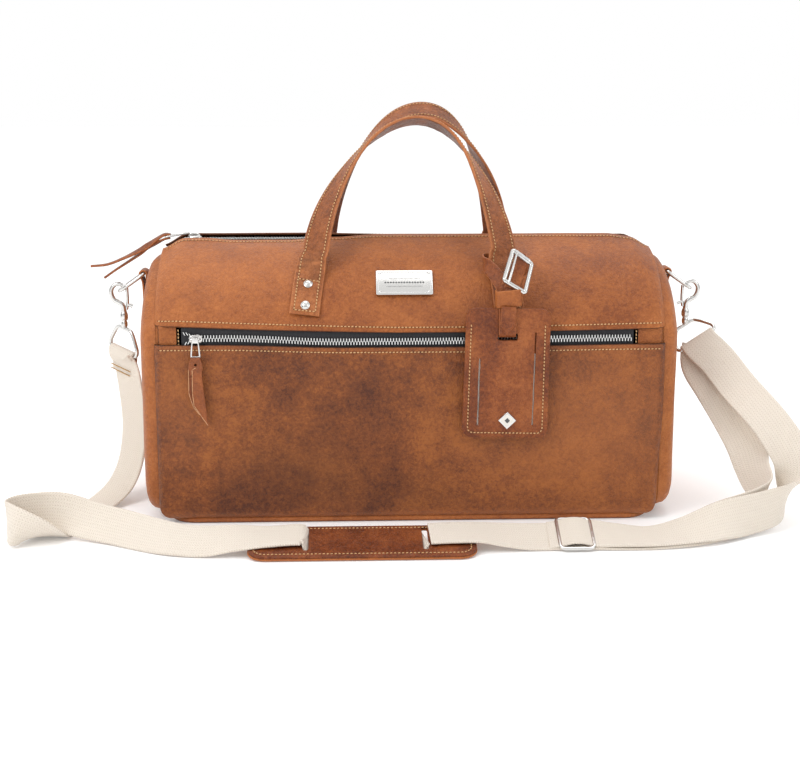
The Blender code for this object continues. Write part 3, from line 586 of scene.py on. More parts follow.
def tape_cloth():
    """Black woven zip tape with fine ribs."""
    g = Graph("zip_tape")
    place = g.place()
    ribs = g.node("ShaderNodeTexWave", {"Vector": place, "Scale": 260.0, "Distortion": 0.6},
                  bands_direction="X").outputs["Fac"]
    fuzz = g.noise(place, 2200.0, 3.0, 0.7)
    height = g.math("ADD", ribs, g.math("MULTIPLY", fuzz, 0.6))
    # Darker between the ribs: painted shade.
    colour = g.ramp(height, [(0.2, (0.006, 0.006, 0.007)), (1.0, (0.032, 0.032, 0.036))])
    return g.finish(Base_Color=colour, Roughness=0.85, Normal=g.bump(height, 0.5, 0.0002))


def sewing_thread(name, dark, light):
    """Twisted polyester thread."""
    g = Graph(name)
    place = g.place()
    twist = g.node("ShaderNodeTexWave", {"Vector": place, "Scale": 900.0, "Distortion": 1.0},
                   bands_direction="DIAGONAL").outputs["Fac"]
    # Darker in the twist's grooves: painted shade.
    return g.finish(Base_Color=g.ramp(twist, [(0.1, dark), (0.8, light)]), Roughness=0.6,
                    Normal=g.bump(twist, 0.4, 0.0001))


def plain_cloth(name, colour):
    """Fine even weave, also used for card, board and needle holes."""
    g = Graph(name)
    place = g.place()
    weave = g.node("ShaderNodeTexWave", {"Vector": place, "Scale": 420.0}, bands_direction="X").outputs["Fac"]
    other = g.node("ShaderNodeTexWave", {"Vector": place, "Scale": 420.0}, bands_direction="Z").outputs["Fac"]
    height = g.math("MAXIMUM", weave, other)
    # Darker in the weave's hollows: painted shade.
    mixed = g.blend(height, tuple(c * 0.7 for c in colour), colour)
    return g.finish(Base_Color=mixed, Roughness=0.9, Normal=g.bump(height, 0.4, 0.0002))


UPPER_HIDE = leather("upper_hide", (0.215, 0.054, 0.011), (0.345, 0.100, 0.021), (0.46, 0.150, 0.036), 0.44)
POCKET_HIDE = leather("pocket_hide", (0.088, 0.022, 0.007), (0.215, 0.059, 0.013), (0.35, 0.108, 0.022), 0.38,
                      1.0, 1.1, 9.0)
HANDLE_HIDE = leather("handle_hide", (0.16, 0.044, 0.012), (0.31, 0.092, 0.025), (0.46, 0.155, 0.047), 0.40,
                      1.4, 2.2, 16.0)
TRIM_HIDE = leather("trim_hide", (0.13, 0.029, 0.008), (0.25, 0.064, 0.015), (0.38, 0.115, 0.029), 0.36,
                    1.2, 1.6, 22.0)
PAD_HIDE = leather("pad_hide", (0.075, 0.016, 0.006), (0.17, 0.040, 0.011), (0.29, 0.078, 0.019), 0.28,
                   0.8, 1.0, 18.0)
NICKEL = nickel()
DULL_NICKEL = nickel("zip_metal", 0.24, (0.72, 0.72, 0.71))
CANVAS = cotton()
TAPE = tape_cloth()
TAN_THREAD = sewing_thread("tan_thread", (0.42, 0.22, 0.09), (0.78, 0.50, 0.24))
# Near-black: painted shade inside the needle holes.
HOLE_SHADE = plain_cloth("needle_hole_shade", (0.022, 0.010, 0.006))
MUSTARD_THREAD = sewing_thread("mustard_thread", (0.35, 0.17, 0.04), (0.62, 0.36, 0.10))


# ---------------------------------------------------------------- camera, floor and light

# The stage is in metres, but for the camera's place and aim
SQUARE = ((-1, -1), (1, -1), (1, 1), (-1, 1))
FLOOR_REACH = 9.0
CAMERA_PLACE = Vector((-63.7, -1509.0, 440.0))
CAMERA_AIM = Vector((-11.0, -112.0, 140.0))
LENS, SENSOR_WIDTH = 67.0, 36.0


def stage_sheet(name, corners, mat):
    """Flat four-cornered piece of the studio, which is no part of the bag."""
    data = bpy.data.meshes.new(name)
    data.from_pydata(corners, [], [(0, 1, 2, 3)])
    data.materials.append(mat)
    sheet = bpy.data.objects.new(name, data)
    bpy.context.scene.collection.objects.link(sheet)


def make_cards():
    """Black studio cards beside and behind the front camera, for the polished metal to mirror.

    They stand in the open, so a view from behind the bag can show one of them.
    """
    g = Graph("black_card")
    fuzz = g.noise(g.place(), 60.0, 2.0)
    g.finish(Base_Color=g.blend(fuzz, (0.012, 0.012, 0.012), (0.02, 0.02, 0.02)), Roughness=0.95)
    for name, centre, half_wide, half_tall in (("card_left", (-2.2, -0.9, 0.7), 0.45, 0.7),
                                               ("card_right", (2.2, -0.7, 0.7), 0.45, 0.7),
                                               ("card_front", (0.1, -2.6, 1.15), 1.0, 0.30)):
        middle = Vector(centre)
        facing = (Vector((0, 0, 0.2)) - middle).normalized()
        across = facing.cross(Z).normalized()
        up = across.cross(facing)
        stage_sheet(name, [middle + across * a * half_wide + up * b * half_tall for a, b in SQUARE], g.mat)


def make_stage():
    scene = bpy.context.scene
    scene.view_settings.view_transform = "Standard"
    world = bpy.data.worlds.new("studio")
    scene.world = world
    world.use_nodes = True
    backdrop = world.node_tree.nodes["Background"]
    backdrop.inputs["Color"].default_value = (1.0, 1.0, 1.0, 1.0)
    backdrop.inputs["Strength"].default_value = 1.0

    camera_data = bpy.data.cameras.new("camera")
    camera_data.lens = LENS
    camera_data.sensor_width = SENSOR_WIDTH
    camera = bpy.data.objects.new("camera", camera_data)
    scene.collection.objects.link(camera)
    camera.location = CAMERA_PLACE * MM
    camera.rotation_euler = (CAMERA_AIM - CAMERA_PLACE).to_track_quat("-Z", "Y").to_euler()
    scene.camera = camera

    g = Graph("studio_floor")
    speck = g.noise(g.place(), 40.0, 3.0)
    g.finish(Base_Color=g.blend(g.math("MULTIPLY", speck, 0.2), (0.93, 0.93, 0.93), (0.90, 0.90, 0.90)),
             Roughness=0.85, Specular_IOR_Level=0.1, Emission_Color=(1.0, 1.0, 1.0), Emission_Strength=0.12)
    stage_sheet("floor", [(a * FLOOR_REACH, b * FLOOR_REACH, 0) for a, b in SQUARE], g.mat)

    make_cards()
    for name, place, aim, size, power in (
            ("key_light", (-1.3, -1.1, 1.5), (0, 0, 0.14), 0.9, 15.0),
            ("fill_light", (1.7, -1.0, 1.1), (0.05, 0, 0.12), 0.9, 5.0),
            ("top_light", (0.1, 0.5, 2.2), (0, 0, 0.1), 1.6, 14.0)):
        lamp = bpy.data.lights.new(name, "AREA")
        lamp.size = size
        lamp.energy = power
        holder = bpy.data.objects.new(name, lamp)
        holder.location = place
        holder.rotation_euler = (Vector(aim) - Vector(place)).to_track_quat("-Z", "Y").to_euler()
        scene.collection.objects.link(holder)


# ---------------------------------------------------------------- shoulder strap

# The webbing's route, as in the CAD: place of its middle and direction across it
STRAP_LEFT = [
    (-289, 1, 136, 0.70, -0.70, -0.06), (-285, -3, 118, 0.72, -0.69, 0), (-281, -8, 76, 0.72, -0.69, 0),
    (-284, -14, 43, 0.72, -0.69, 0), (-293, -26, 19, 0.74, -0.67, 0), (-307, -44, 6, 0.77, -0.63, 0),
    (-321, -68, 1.9, 0.82, -0.57, 0), (-331, -96, 1.8, 0.9, -0.43, 0), (-338, -124, 2.1, 0.95, -0.3, 0),
    (-343, -149, 2.7, 0.94, -0.33, 0.02), (-348, -168, 9, 0.8, -0.42, 0.4),
    (-356, -180, 16.2, 0.45, -0.34, 0.8),
    (-369, -183.5, 22, 0.26, 0, 0.98), (-378.5, -168, 23, 0, 0, 1), (-373, -159, 25, 0, 0.05, 1),
    (-357, -153, 26, 0, 0.05, 1), (-333, -149, 24.5, 0, 0.3, 0.95), (-305, -154, 18, 0, 0.6, 0.8),
    (-276, -165, 14.5, 0, 0.76, 0.65), (-248, -181, 12.5, 0, 0.82, 0.57), (-222, -194, 11.5, 0, 0.86, 0.5),
    (-194, -200, 11.2, 0, 0.86, 0.5), (-166, -200, 13.9, 0, 0.93, 0.36), (-134, -198, 14.2, 0, 0.98, 0.2),
    (-105, -196, 14.8, 0, 0.98, 0.2)]
UNDER_PAD = [
    (-101, -197, 10.5, 0, 0.98, 0.2), (-97, -197.6, 6.2, 0, 0.98, 0.2), (-88, -198, 4.2, 0, 0.98, 0.2),
    (-60, -198, 3.8, 0, 0.98, 0.2), (-20, -198, 3.8, 0, 0.98, 0.2), (-3, -198, 4.2, 0, 0.98, 0.2),
    (5, -197.6, 6.2, 0, 0.98, 0.2), (9, -197, 11.0, 0, 0.98, 0.2)]
STRAP_RIGHT_LOWER = [
    (13, -196, 14.6, 0, 0.98, 0.2), (36, -195, 14.8, 0, 0.98, 0.2), (60, -194, 14.4, 0, 0.98, 0.2),
    (84, -192.5, 11.4, 0, 0.95, 0.3),
    (110, -191, 8.9, 0, 0.92, 0.38), (149, -190, 8.9, 0, 0.92, 0.38), (185, -191, 6.6, 0, 0.96, 0.27),
    (222, -190, 4.8, 0, 0.98, 0.18), (256, -185, 8.6, 0, 0.92, 0.39), (286, -174.5, 15.3, 0, 0.66, 0.75),
    (312, -163.5, 19.8, 0, 0.25, 0.97), (331, -152, 24.5, 0.1, 0.1, 0.99), (341, -136, 32, 0.22, 0, 0.97),
    (338, -110, 46, 0.5, 0, 0.86), (335, -87, 66, 0.82, 0.05, 0.57), (325, -66, 89, 0.86, 0.05, 0.5),
    (311, -47, 115, 0.86, 0.05, 0.5), (299, -29, 138, 0.85, 0.05, 0.53),
    (295, -16.5, 151.0, 0.84, 0.05, 0.54)]
STRAP_RIGHT_UPPER = [
    (170, -191.2, 11.2, 0, 0.92, 0.38), (190, -191.5, 9.6, 0, 0.96, 0.27), (222, -190.8, 8.0, 0, 0.98, 0.18),
    (257, -186.8, 12.4, 0, 0.92, 0.39), (288, -179.5, 18.0, 0, 0.66, 0.75),
    (318, -169.5, 21.2, 0, 0.25, 0.97),
    (345, -158.5, 25, 0.1, 0.1, 0.99), (359, -148, 31, 0.3, -0.05, 0.95), (368, -135, 42, 0.6, -0.15, 0.8),
    (370.5, -124, 63.5, 0.8, -0.1, 0.6), (355, -99, 92.5, 0.86, 0.05, 0.5), (331, -62, 122, 0.86, 0.05, 0.5),
    (315, -39, 144, 0.85, 0.05, 0.53), (302, -22, 158, 0.84, 0.05, 0.54)]
LEFT_BAR, LEFT_DROP = Vector((0.70, -0.70, -0.16)), Vector((-0.09, 0.09, -0.99))
RIGHT_BAR, RIGHT_DROP = Vector((0.84, 0.05, 0.54)), Vector((0.33, -0.66, -0.45))
EYE_TOP = Vector((288.5, 0.0, 174.2))
EYE_DEPTH = 25.0                 # from the top of an eye to the bar that the webbing folds over


def web_relief(mark, side, sign):
    """Slack webbing: faint waves along it and a bead at each woven edge."""
    wave = 0.35 * math.sin(mark / 17.0) * sign
    edge = 0.22 * smoothstep(15.6, 17.4, abs(side))
    return wave + edge


def make_web(name, stations, blend_from, exit_point):
    """A run of webbing along the given stations; blend_from is not used."""
    path = Path(stations, 2.2)
    strap = band(name, path, WEB_WIDTH, WEB_THICK, CANVAS, columns=16, relief=web_relief)
    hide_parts(name.removeprefix("web_"))
    Vector(blend_from) * MM
    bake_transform(strap)
    Vector(exit_point) * MM
    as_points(path.points_m())


FOLD_RADIUS = 3.1                # of the webbing's turn round an eye's lower bar


def over_bar(side_sign, bar, drop):
    """The turn of webbing round an eye's lower bar: middle, directions along, down and out, stations."""
    along, down = bar.normalized(), drop.normalized()
    down = (down - along * down.dot(along)).normalized()
    middle = Vector((EYE_TOP.x * side_sign, EYE_TOP.y, EYE_TOP.z)) + down * EYE_DEPTH
    out = along.cross(down)
    if out.y > 0:
        out = -out
    turn = []
    for k in range(9):
        angle = math.pi * k / 8
        place = middle - out * FOLD_RADIUS * math.cos(angle) - down * FOLD_RADIUS * math.sin(angle)
        turn.append((*place, *along))
    return middle, along, down, out, turn


def make_strap():
    """Webbing from snap to snap: the left run goes on through the pad, and the right one is doubled."""
    middle, along, down, out, turn = over_bar(-1, LEFT_BAR, LEFT_DROP)
    behind = [(*(middle + down * run - out * (FOLD_RADIUS + 0.1)), *along) for run in (24.0, 16.0, 8.0)]
    front = [(*(middle + down * 7.0 + out * 2.2), *along)]
    thread = Thread("web_fold_stitches")
    for run in (17.0, 21.5):
        samples = [(middle + down * run + out * 1.6 + along * a, out) for a in spread(-16, 16, 12)]
        place, length = polyline_place(samples)
        thread.row(place, length, 3.0, 0.85, 0.6)
    sewing = fit(thread.make(MUSTARD_THREAD), "left_ring", "cotton_webbing")
    pad_parts = make_pad()
    slider = make_strap_slider()
    start_left = STRAP_LEFT[0][:3]
    make_web("web_strap_left", behind + turn + front + STRAP_LEFT + UNDER_PAD, start_left,
             start_left)
    middle, along, down, out, turn = over_bar(1, RIGHT_BAR, RIGHT_DROP)
    meet = (*(middle + down * 5.0 - out * (FOLD_RADIUS + 0.1)), *along)
    make_web("web_strap_right_lower", STRAP_RIGHT_LOWER[:-1] + [meet],
             STRAP_RIGHT_LOWER[-1][:3], meet[:3])
    upper = STRAP_RIGHT_UPPER[:-1] + [(*(middle + down * 9.0 + out * 2.6), *along)] + turn[::-1] + [meet]
    make_web("web_strap_right_upper", upper,
             STRAP_RIGHT_UPPER[-1][:3], meet[:3])


def rounded_rectangle(width, height, radius, arc_steps):
    """Outline of a rectangle with round corners, as (x, y) pairs going anticlockwise."""
    out = []
    for corner in range(4):
        start = corner * math.pi / 2
        centre_x = (width / 2 - radius) * (1 if corner in (0, 3) else -1)
        centre_y = (height / 2 - radius) * (1 if corner in (0, 1) else -1)
        for k in range(arc_steps + 1):
            angle = start + k / arc_steps * math.pi / 2
            out.append((centre_x + radius * math.cos(angle), centre_y + radius * math.sin(angle)))
    return out


def slab(name, outline, holes, thickness, place, mat, bevel=0.4, shade=0.0):
    """Flat plate with holes and softened edges; place turns (across, up, through) into a point."""
    work = bmesh.new()
    edges = []
    for loop in [outline] + holes:
        knots = [work.verts.new((a, b, 0)) for a, b in loop]
        edges += [work.edges.new((knots[i - 1], knots[i])) for i in range(len(knots))]
    filled = bmesh.ops.triangle_fill(work, use_beauty=True, edges=edges)
    faces = [part for part in filled["geom"] if isinstance(part, bmesh.types.BMFace)]
    raised = bmesh.ops.extrude_face_region(work, geom=faces)
    lifted = [part for part in raised["geom"] if isinstance(part, bmesh.types.BMVert)]
    bmesh.ops.translate(work, verts=lifted, vec=(0, 0, thickness))
    bmesh.ops.recalc_face_normals(work, faces=work.faces)
    corners = [e for e in work.edges if len(e.link_faces) == 2 and e.calc_face_angle() > 0.7
               and abs(e.verts[0].co.z - e.verts[1].co.z) < 0.01]
    bmesh.ops.bevel(work, geom=corners, offset=bevel, segments=3, profile=0.5, affect="EDGES",
                    clamp_overlap=True)
    work.verts.index_update()
    points = [place(*v.co) for v in work.verts]
    polygons = [tuple(v.index for v in f.verts) for f in work.faces]
    shades = [shade] * len(points)
    work.free()
    return add_mesh(name, points, polygons, mat, None, shades, sharp=35)


def outline_row(thread, outline, place, lift, pitch):
    """Stitches round a closed outline on a flat piece."""
    normal = (place(0, 0, 1) - place(0, 0, 0)).normalized()
    sewn_row(thread, [(place(a, b, lift), normal) for a, b in outline + [outline[0]]], pitch)


def dome(name, centre, normal, radius, height, mat, turns=28):
    """Round rivet head: a low dome on a thin flange, spun about its normal."""
    normal = normal.normalized()
    across = normal.orthogonal().normalized()
    along = normal.cross(across)
    profile = [(0.96, 0.0), (1.0, 0.12), (0.98, 0.26), (0.90, 0.34), (0.80, 0.42), (0.70, 0.64), (0.52, 0.84),
               (0.30, 0.96), (0.10, 1.0)]
    points = []
    for share, rise in profile:
        for k in range(turns):
            a = 2 * math.pi * k / turns
            points.append(centre + normal * height * rise
                          + (across * math.cos(a) + along * math.sin(a)) * radius * share)
    return add_mesh(name, points, ring_faces(len(profile), turns), mat, sharp=50)


PAD_CENTRE = Vector((-49, -201, 7.2))
PAD_TILT = math.radians(11.5)
PAD_LENGTH, PAD_WIDTH = 210.0, 60.0
PAD_SLOTS = (-52, 58)            # places along the pad where the webbing passes through it


def pad_place(a, b, c):
    """Point on the shoulder pad, which lies against the ground and leans up at the back."""
    ahead = Vector((0, math.cos(PAD_TILT), math.sin(PAD_TILT)))
    up = Vector((0, -math.sin(PAD_TILT), math.cos(PAD_TILT)))
    arch = 0.42 * math.cos(math.pi * a / PAD_LENGTH) if c > 1.5 else 0.0
    return PAD_CENTRE + X * a + ahead * b + up * (c - 0.8 + arch)


def pad_outline(inset):
    """The pad narrows a little towards both rounded ends."""
    out = []
    for a, b in rounded_rectangle(PAD_LENGTH - 2 * inset, PAD_WIDTH - 2 * inset, max(16 - inset, 2), 7):
        out.append((a, b * (1 - 0.06 * (2 * a / PAD_LENGTH) ** 2)))
    return out


def make_pad():
    slots = [[(a + shift, b + 4) for a, b in rounded_rectangle(5.2, 41, 2, 3)] for shift in PAD_SLOTS]
    top = slab("pad_top", pad_outline(0.8), slots, 2.2, lambda a, b, c: pad_place(a, b, c + 1.8), PAD_HIDE,
               0.7)
    lining = slab("pad_underside", pad_outline(0.0), slots, 1.7, pad_place, UPPER_HIDE, 0.4, -0.35)
    thread = Thread("pad_stitches")
    outline_row(thread, pad_outline(5.5), pad_place, 4.1, 3.6)
    fit(top, "bag", "trim_leather", "shoulder_pad")
    fit(lining, "bag", "trim_leather")
    fit(thread.make(TAN_THREAD), "bag", "trim_leather")
    return [top.name, lining.name, thread.name]


def make_strap_slider():
    """Tri-glide buckle: a cast frame with a middle bar."""
    tilt = math.atan2(0.38, 0.92)
    ahead, up = Vector((0, math.cos(tilt), math.sin(tilt))), Vector((0, -math.sin(tilt), math.cos(tilt)))
    centre = Vector((149, -190, 8.9)) + up * (WEB_THICK / 2 + 0.5)
    windows = [[(a + shift, b) for a, b in rounded_rectangle(11.5, 39.5, 3.5, 5)] for shift in (-8.2, 8.2)]
    glide = slab("tri_glide", rounded_rectangle(35, 46, 7, 6), windows, 3.0,
                 lambda a, b, c: centre + X * a + ahead * b + up * c, NICKEL, 0.9)
    fit(glide, "bag", "nickel", "strap_slider")
    tongue = [(x, *(centre + up * u).yz, 0, *ahead.yz) for x, u in
              ((124, -0.4), (134, 1.4), (143, 4.4), (149, 4.9), (155, 4.4), (164, 1.4), (176, 0.6))]
    path = Path(tongue, 1.5)
    strip = band("web_over_glide", path, WEB_WIDTH - 0.6, WEB_THICK - 0.3, CANVAS, columns=16,
                 relief=web_relief)
    fit(strip, "bag", "cotton_webbing")
    return [glide.name, strip.name]


# ---------------------------------------------------------------- leather shell

def rise_scale(x):
    """Share of the full height above the shoulder at this place along the bag."""
    return 1.0 - END_DROP * smoothstep(FLAT_TOP, HALF_LENGTH + 2, abs(x))


def corner_roll(x, radius):
    """How far a panel has rolled back from its face near a gusset seam."""
    inside = min(max(abs(x) - (HALF_LENGTH - radius), 0.0) / radius, 1.0)
    return radius * (1 - math.sqrt(1 - inside * inside))


def rolled_stops(radius, pitch):
    """Stations along the bag, closer together where the ends roll round."""
    edge = HALF_LENGTH - radius
    arc = [edge + radius * math.sin(math.radians(a)) for a in (12, 24, 36, 47, 57, 66, 74)]
    return [-x for x in reversed(arc)] + spread(-edge, edge, int(2 * edge / pitch) + 1) + arc


def mouth_wave(x, side):
    """The mouth's two lips aren't level: the front one sags on the left and hides the zip elsewhere."""
    if side > 0:
        return 1.0 - 2.0 * smoothstep(-110, 20, x)
    sag = 2.5 * smoothstep(-205, -170, x) * (1 - smoothstep(-118, -75, x))
    return 3.0 * smoothstep(-75, -25, x) * (1 - smoothstep(200, 224, x)) - sag


def flap_height(x):
    """Height of the upper panel's lower edge."""
    left = 8.0 * max((-x - 10.0) / 236.0, 0.0) ** 1.3
    return FLAP_EDGE + left + 3.0 * max((x - 60.0) / 186.0, 0.0) ** 1.5


def pocket_height(x):
    """Height of the pocket panel's upper edge."""
    return POCKET_TOP + 1.6 * smoothstep(40, 240, x) + 3.2 * smoothstep(-60, -190, x)


def slack(x, z, side):
    """Soft hollows and swellings of leather that holds itself up."""
    where = Vector((x, z, side * 300.0))
    broad = ripple(where, 85.0, 3.1) * 1.7 + ripple(where, 34.0, 8.4) * 0.55 + ripple(where, 13.0, 1.7) * 0.12
    return broad * (1 - 0.55 * smoothstep(225, 246, abs(x)))


def upper_point(x, t, lift=0.0, side=-1):
    """Place on an upper panel: t from 0 at the shoulder to 1 at the mouth, below 0 on the flap."""
    if t < 0:
        y, z = HALF_DEPTH, SHOULDER + FLAP_SLOPE * t
        normal = Vector((0, side, 0))
    else:
        y = (1 - t) ** 2 * HALF_DEPTH + 2 * t * (1 - t) * LEAN_Y + t * t * MOUTH_HALF
        z = (1 - t) ** 2 * SHOULDER + 2 * t * (1 - t) * LEAN_Z + t * t * RIDGE
        run_y = 2 * (1 - t) * (LEAN_Y - HALF_DEPTH) + 2 * t * (MOUTH_HALF - LEAN_Y)
        run_z = 2 * (1 - t) * (LEAN_Z - SHOULDER) + 2 * t * (RIDGE - LEAN_Z)
        normal = Vector((0, run_z * side, -run_y)).normalized()
        z = SHOULDER + (z - SHOULDER) * rise_scale(x)
    rounding = corner_roll(x, UPPER_ROLL)
    z += mouth_wave(x, side) * smoothstep(0.72, 1.0, t)
    free = (0.25 + 0.75 * smoothstep(0.0, 0.3, t)) * (1 - 0.7 * smoothstep(0.8, 1.0, t))
    depth = slack(x, z, side) * free
    place = Vector((x, y * side, z)) + normal * (depth * 0.8 + lift)
    place.y -= side * rounding * (1 - 0.75 * smoothstep(0.3, 0.95, t))
    return place, normal


def wall_point(x, z, lift=0.0, side=-1):
    """Place on the upright walls, with the rolled ends, the rounded lower corners and the tuck under."""
    height = min(max((z - BASE_TOP) / (POCKET_TOP - BASE_TOP - 6), 0.0), 1.0)
    swell = 3.0 * math.sin(math.pi * height) * math.cos(math.pi * x / (2 * HALF_LENGTH + 20))
    low = max(z - PANEL_FOOT, 0.0)
    tuck_radius, corner_radius = 7.0, 15.0
    tuck = 0.0
    if low < tuck_radius:
        tuck = tuck_radius * (1 - math.sqrt(1 - (1 - low / tuck_radius) ** 2))
    if low < corner_radius:
        shrink = corner_radius * (1 - math.sqrt(1 - (1 - low / corner_radius) ** 2))
        x -= math.copysign(min(shrink, 12.0) * (abs(x) / HALF_LENGTH) ** 10, x)
    calm = smoothstep(0.0, 0.1, height) * (1 - 0.8 * smoothstep(0.85, 1.0, height))
    depth = swell + slack(x, z, side) * 0.7 * calm
    y = HALF_DEPTH + depth + lift - corner_roll(x, WALL_ROLL) - min(tuck, 5.0)
    narrow = 4.0 * (1 - smoothstep(0.0, 0.75, height)) * max(x / HALF_LENGTH, 0.0) ** 6
    return Vector((x - narrow, y * side, z)), Vector((0, side, 0))


def surface_grid(columns, rows, place, side):
    """Grid of (point, outward normal) on place(x, v), with normals from the neighbouring points."""
    points = [[place(x, v) for v in rows(x)] for x in columns]
    across, up = len(points), len(points[0])
    grid = []
    for i in range(across):
        line = []
        for j in range(up):
            along = points[min(i + 1, across - 1)][j] - points[max(i - 1, 0)][j]
            rise = points[i][min(j + 1, up - 1)] - points[i][max(j - 1, 0)]
            line.append((points[i][j], along.cross(rise).normalized() * -side))
        grid.append(line)
    return grid


def patch(x, z, centre_x, centre_z, wide, tall):
    """A soft spot: 1 at its centre, fading over about this width and height."""
    return math.exp(-((x - centre_x) / wide) ** 2 - ((z - centre_z) / tall) ** 2)


def pocket_shade_and_wear(i, j, point):
    """Darker over the left and middle and at the rolled ends, which is painted shade; paler and oranger
    towards the worn left and lower edges, and paler at the upper right and along the top.
    """
    x, z = point.x, point.z
    # Painted shade: the darker patches over the left and middle.
    dark = 0.34 * patch(x, z, -105, 50, 80, 40) + 0.16 * patch(x, z, 10, 28, 60, 22)
    dark += 0.12 * patch(x, z, -60, 130, 120, 40)
    pale = 0.30 * patch(x, z, 190, 95, 110, 75) + 0.22 * patch(x, z, -215, 120, 35, 70)
    # Paler along the bottom from wear; less pale at the rolled ends, which is painted shade.
    pale += 0.30 * (1 - smoothstep(8, 15, z)) - 0.20 * smoothstep(236, 244, abs(x))
    pale += 0.14 * smoothstep(166, 174, z)
    return dark - pale


def upper_shade_and_sheen(i, j, point):
    """Darker along the pocket and the top edge; paler at the upper left and the ends, which is painted sheen.
    """
    x, z = point.x, point.z
    dark = 0.10 * patch(x, z, 60, 205, 110, 14) + 0.10 * smoothstep(262, 268, z)
    dark += 0.05 * patch(x, z, 180, 230, 60, 30)
    # Painted sheen: the pale patch at the upper left and the paler rolled ends.
    pale = 0.22 * patch(x, z, -190, 238, 70, 26) + 0.10 * smoothstep(236, 245, abs(x))
    pale += 0.06 * patch(x, z, 20, 250, 90, 14)
    return dark - pale


def make_shell():
    """The upper panel with its flap, the pocket's panel and back, and the rear panel."""
    def upper_rows(x):
        edge = (flap_height(x) - SHOULDER) / FLAP_SLOPE
        return [edge + (1 - edge) * v for v in spread(0.0, 1.0, 46)]

    front = surface_grid(rolled_stops(UPPER_ROLL, 3.6), upper_rows, lambda x, t: upper_point(x, t)[0], -1)
    fit(skin("upper_front", front, LEATHER, UPPER_HIDE, shade=upper_shade_and_sheen), "bag", "upper_leather",
        "front_upper_panel")

    def pocket_rows(x):
        return [PANEL_FOOT + (pocket_height(x) - PANEL_FOOT) * v ** 1.25 for v in spread(0.0, 1.0, 52)]

    pocket = surface_grid(rolled_stops(WALL_ROLL, 3.6), pocket_rows, lambda x, z: wall_point(x, z)[0], -1)
    fit(skin("pocket_front", pocket, LEATHER, POCKET_HIDE, shade=pocket_shade_and_wear), "bag", "pocket_leather",
        "front_pocket_panel")
    backing = surface_grid(spread(-HALF_LENGTH + 6, HALF_LENGTH - 6, 30),
                           lambda x: spread(BASE_TOP + 3, SHOULDER + 2, 12),
                           lambda x, z: wall_point(x * 0.985, z, -LEATHER - 5.7)[0], -1)
    # Darkened all over: painted shade inside the pocket.
    fit(skin("pocket_backing", backing, 1.4, POCKET_HIDE, shade=lambda i, j, p: 0.5), "bag", "upper_leather",
        "pocket_back_panel")

    def rear_place(x, v):
        if v < 1.0:
            point = wall_point(x, PANEL_FOOT + (SHOULDER - PANEL_FOOT) * v, 0.0, 1)[0]
            meet = smoothstep(0.8, 1.0, v)
            return point.lerp(Vector((point.x, upper_point(x, 0.0, 0.0, 1)[0].y, point.z)), meet)
        return upper_point(x, v - 1.0, 0.0, 1)[0]

    rear = surface_grid(rolled_stops(WALL_ROLL, 4.0),
                        lambda x: [v ** 1.1 for v in spread(0.0, 1.0, 40)] + spread(1.0, 2.0, 36)[1:],
                        rear_place, 1)
    fit(skin("rear_back", rear, LEATHER, UPPER_HIDE), "bag", "upper_leather", "rear_panel")


def section_outline(inset):
    """Outline of the bag's end in (y, z), from the lower front corner up over the top and down the rear."""
    low = BASE_TOP + 0.3
    radius = 20.0
    front = []
    for a in (math.pi / 2 * k / 8 for k in range(8, 0, -1)):
        front.append((-(HALF_DEPTH - inset - radius * (1 - math.cos(a))), low + radius * (1 - math.sin(a))))
    front += [(-(HALF_DEPTH - inset), z) for z in spread(low + radius, SHOULDER - 4, 22)]
    drop = rise_scale(HALF_LENGTH + 2) / rise_scale(HALF_LENGTH - UPPER_ROLL)
    for t in spread(0.02, 1.0, 26):
        point, _ = upper_point(HALF_LENGTH - UPPER_ROLL, t, -inset)
        z = SHOULDER + (point.z - SHOULDER) * drop
        front.append((point.y, z))
    return front + [(-y, z) for y, z in reversed(front)]


GUSSET_MIDDLE = 120.0            # height that a gusset's rings shrink towards


def make_gussets():
    """The two bulging ends, as rings that shrink to a small opening at the middle of each."""
    outline = section_outline(8.5)
    count = len(outline)
    shares = (1.0, 0.985, 0.965, 0.94, 0.90, 0.85, 0.78, 0.70, 0.60, 0.50, 0.40, 0.28, 0.16, 0.06)
    for hand, side in (("left", -1), ("right", 1)):
        rings = []
        for depth, order in ((0.0, shares), (LEATHER, shares[::-1])):
            for share in order:
                bulge = (END_BULGE + 1.0) * (1 - share ** 14) ** 0.5
                ring = []
                for y, z in outline:
                    soft = ripple(Vector((side * 90.0, y * share, z)), 60.0, 5.2) * 1.6 * (1 - share ** 3)
                    reach = HALF_LENGTH - 2.0 + bulge + soft - depth
                    height = GUSSET_MIDDLE + (z - GUSSET_MIDDLE) * share
                    ring.append(Vector((side * reach, y * share, height)))
                rings.append(ring)
        points = [p for ring in rings[::-1] for p in ring]
        faces = ring_faces(len(rings), count)
        # Paler towards the front: painted highlight along the gusset's front.
        shades = [-0.12 * smoothstep(-60, -100, p.y) for p in points]
        end = add_mesh("gusset_" + hand, points, faces, UPPER_HIDE, None, shades, sharp=60)
        fit(end, "bag", "upper_leather", hand + "_gusset")


def base_ring(half_x, half_y, radius, z):
    return [Vector((x, y, z)) for x, y in rounded_rectangle(2 * half_x, 2 * half_y, radius, 8)]


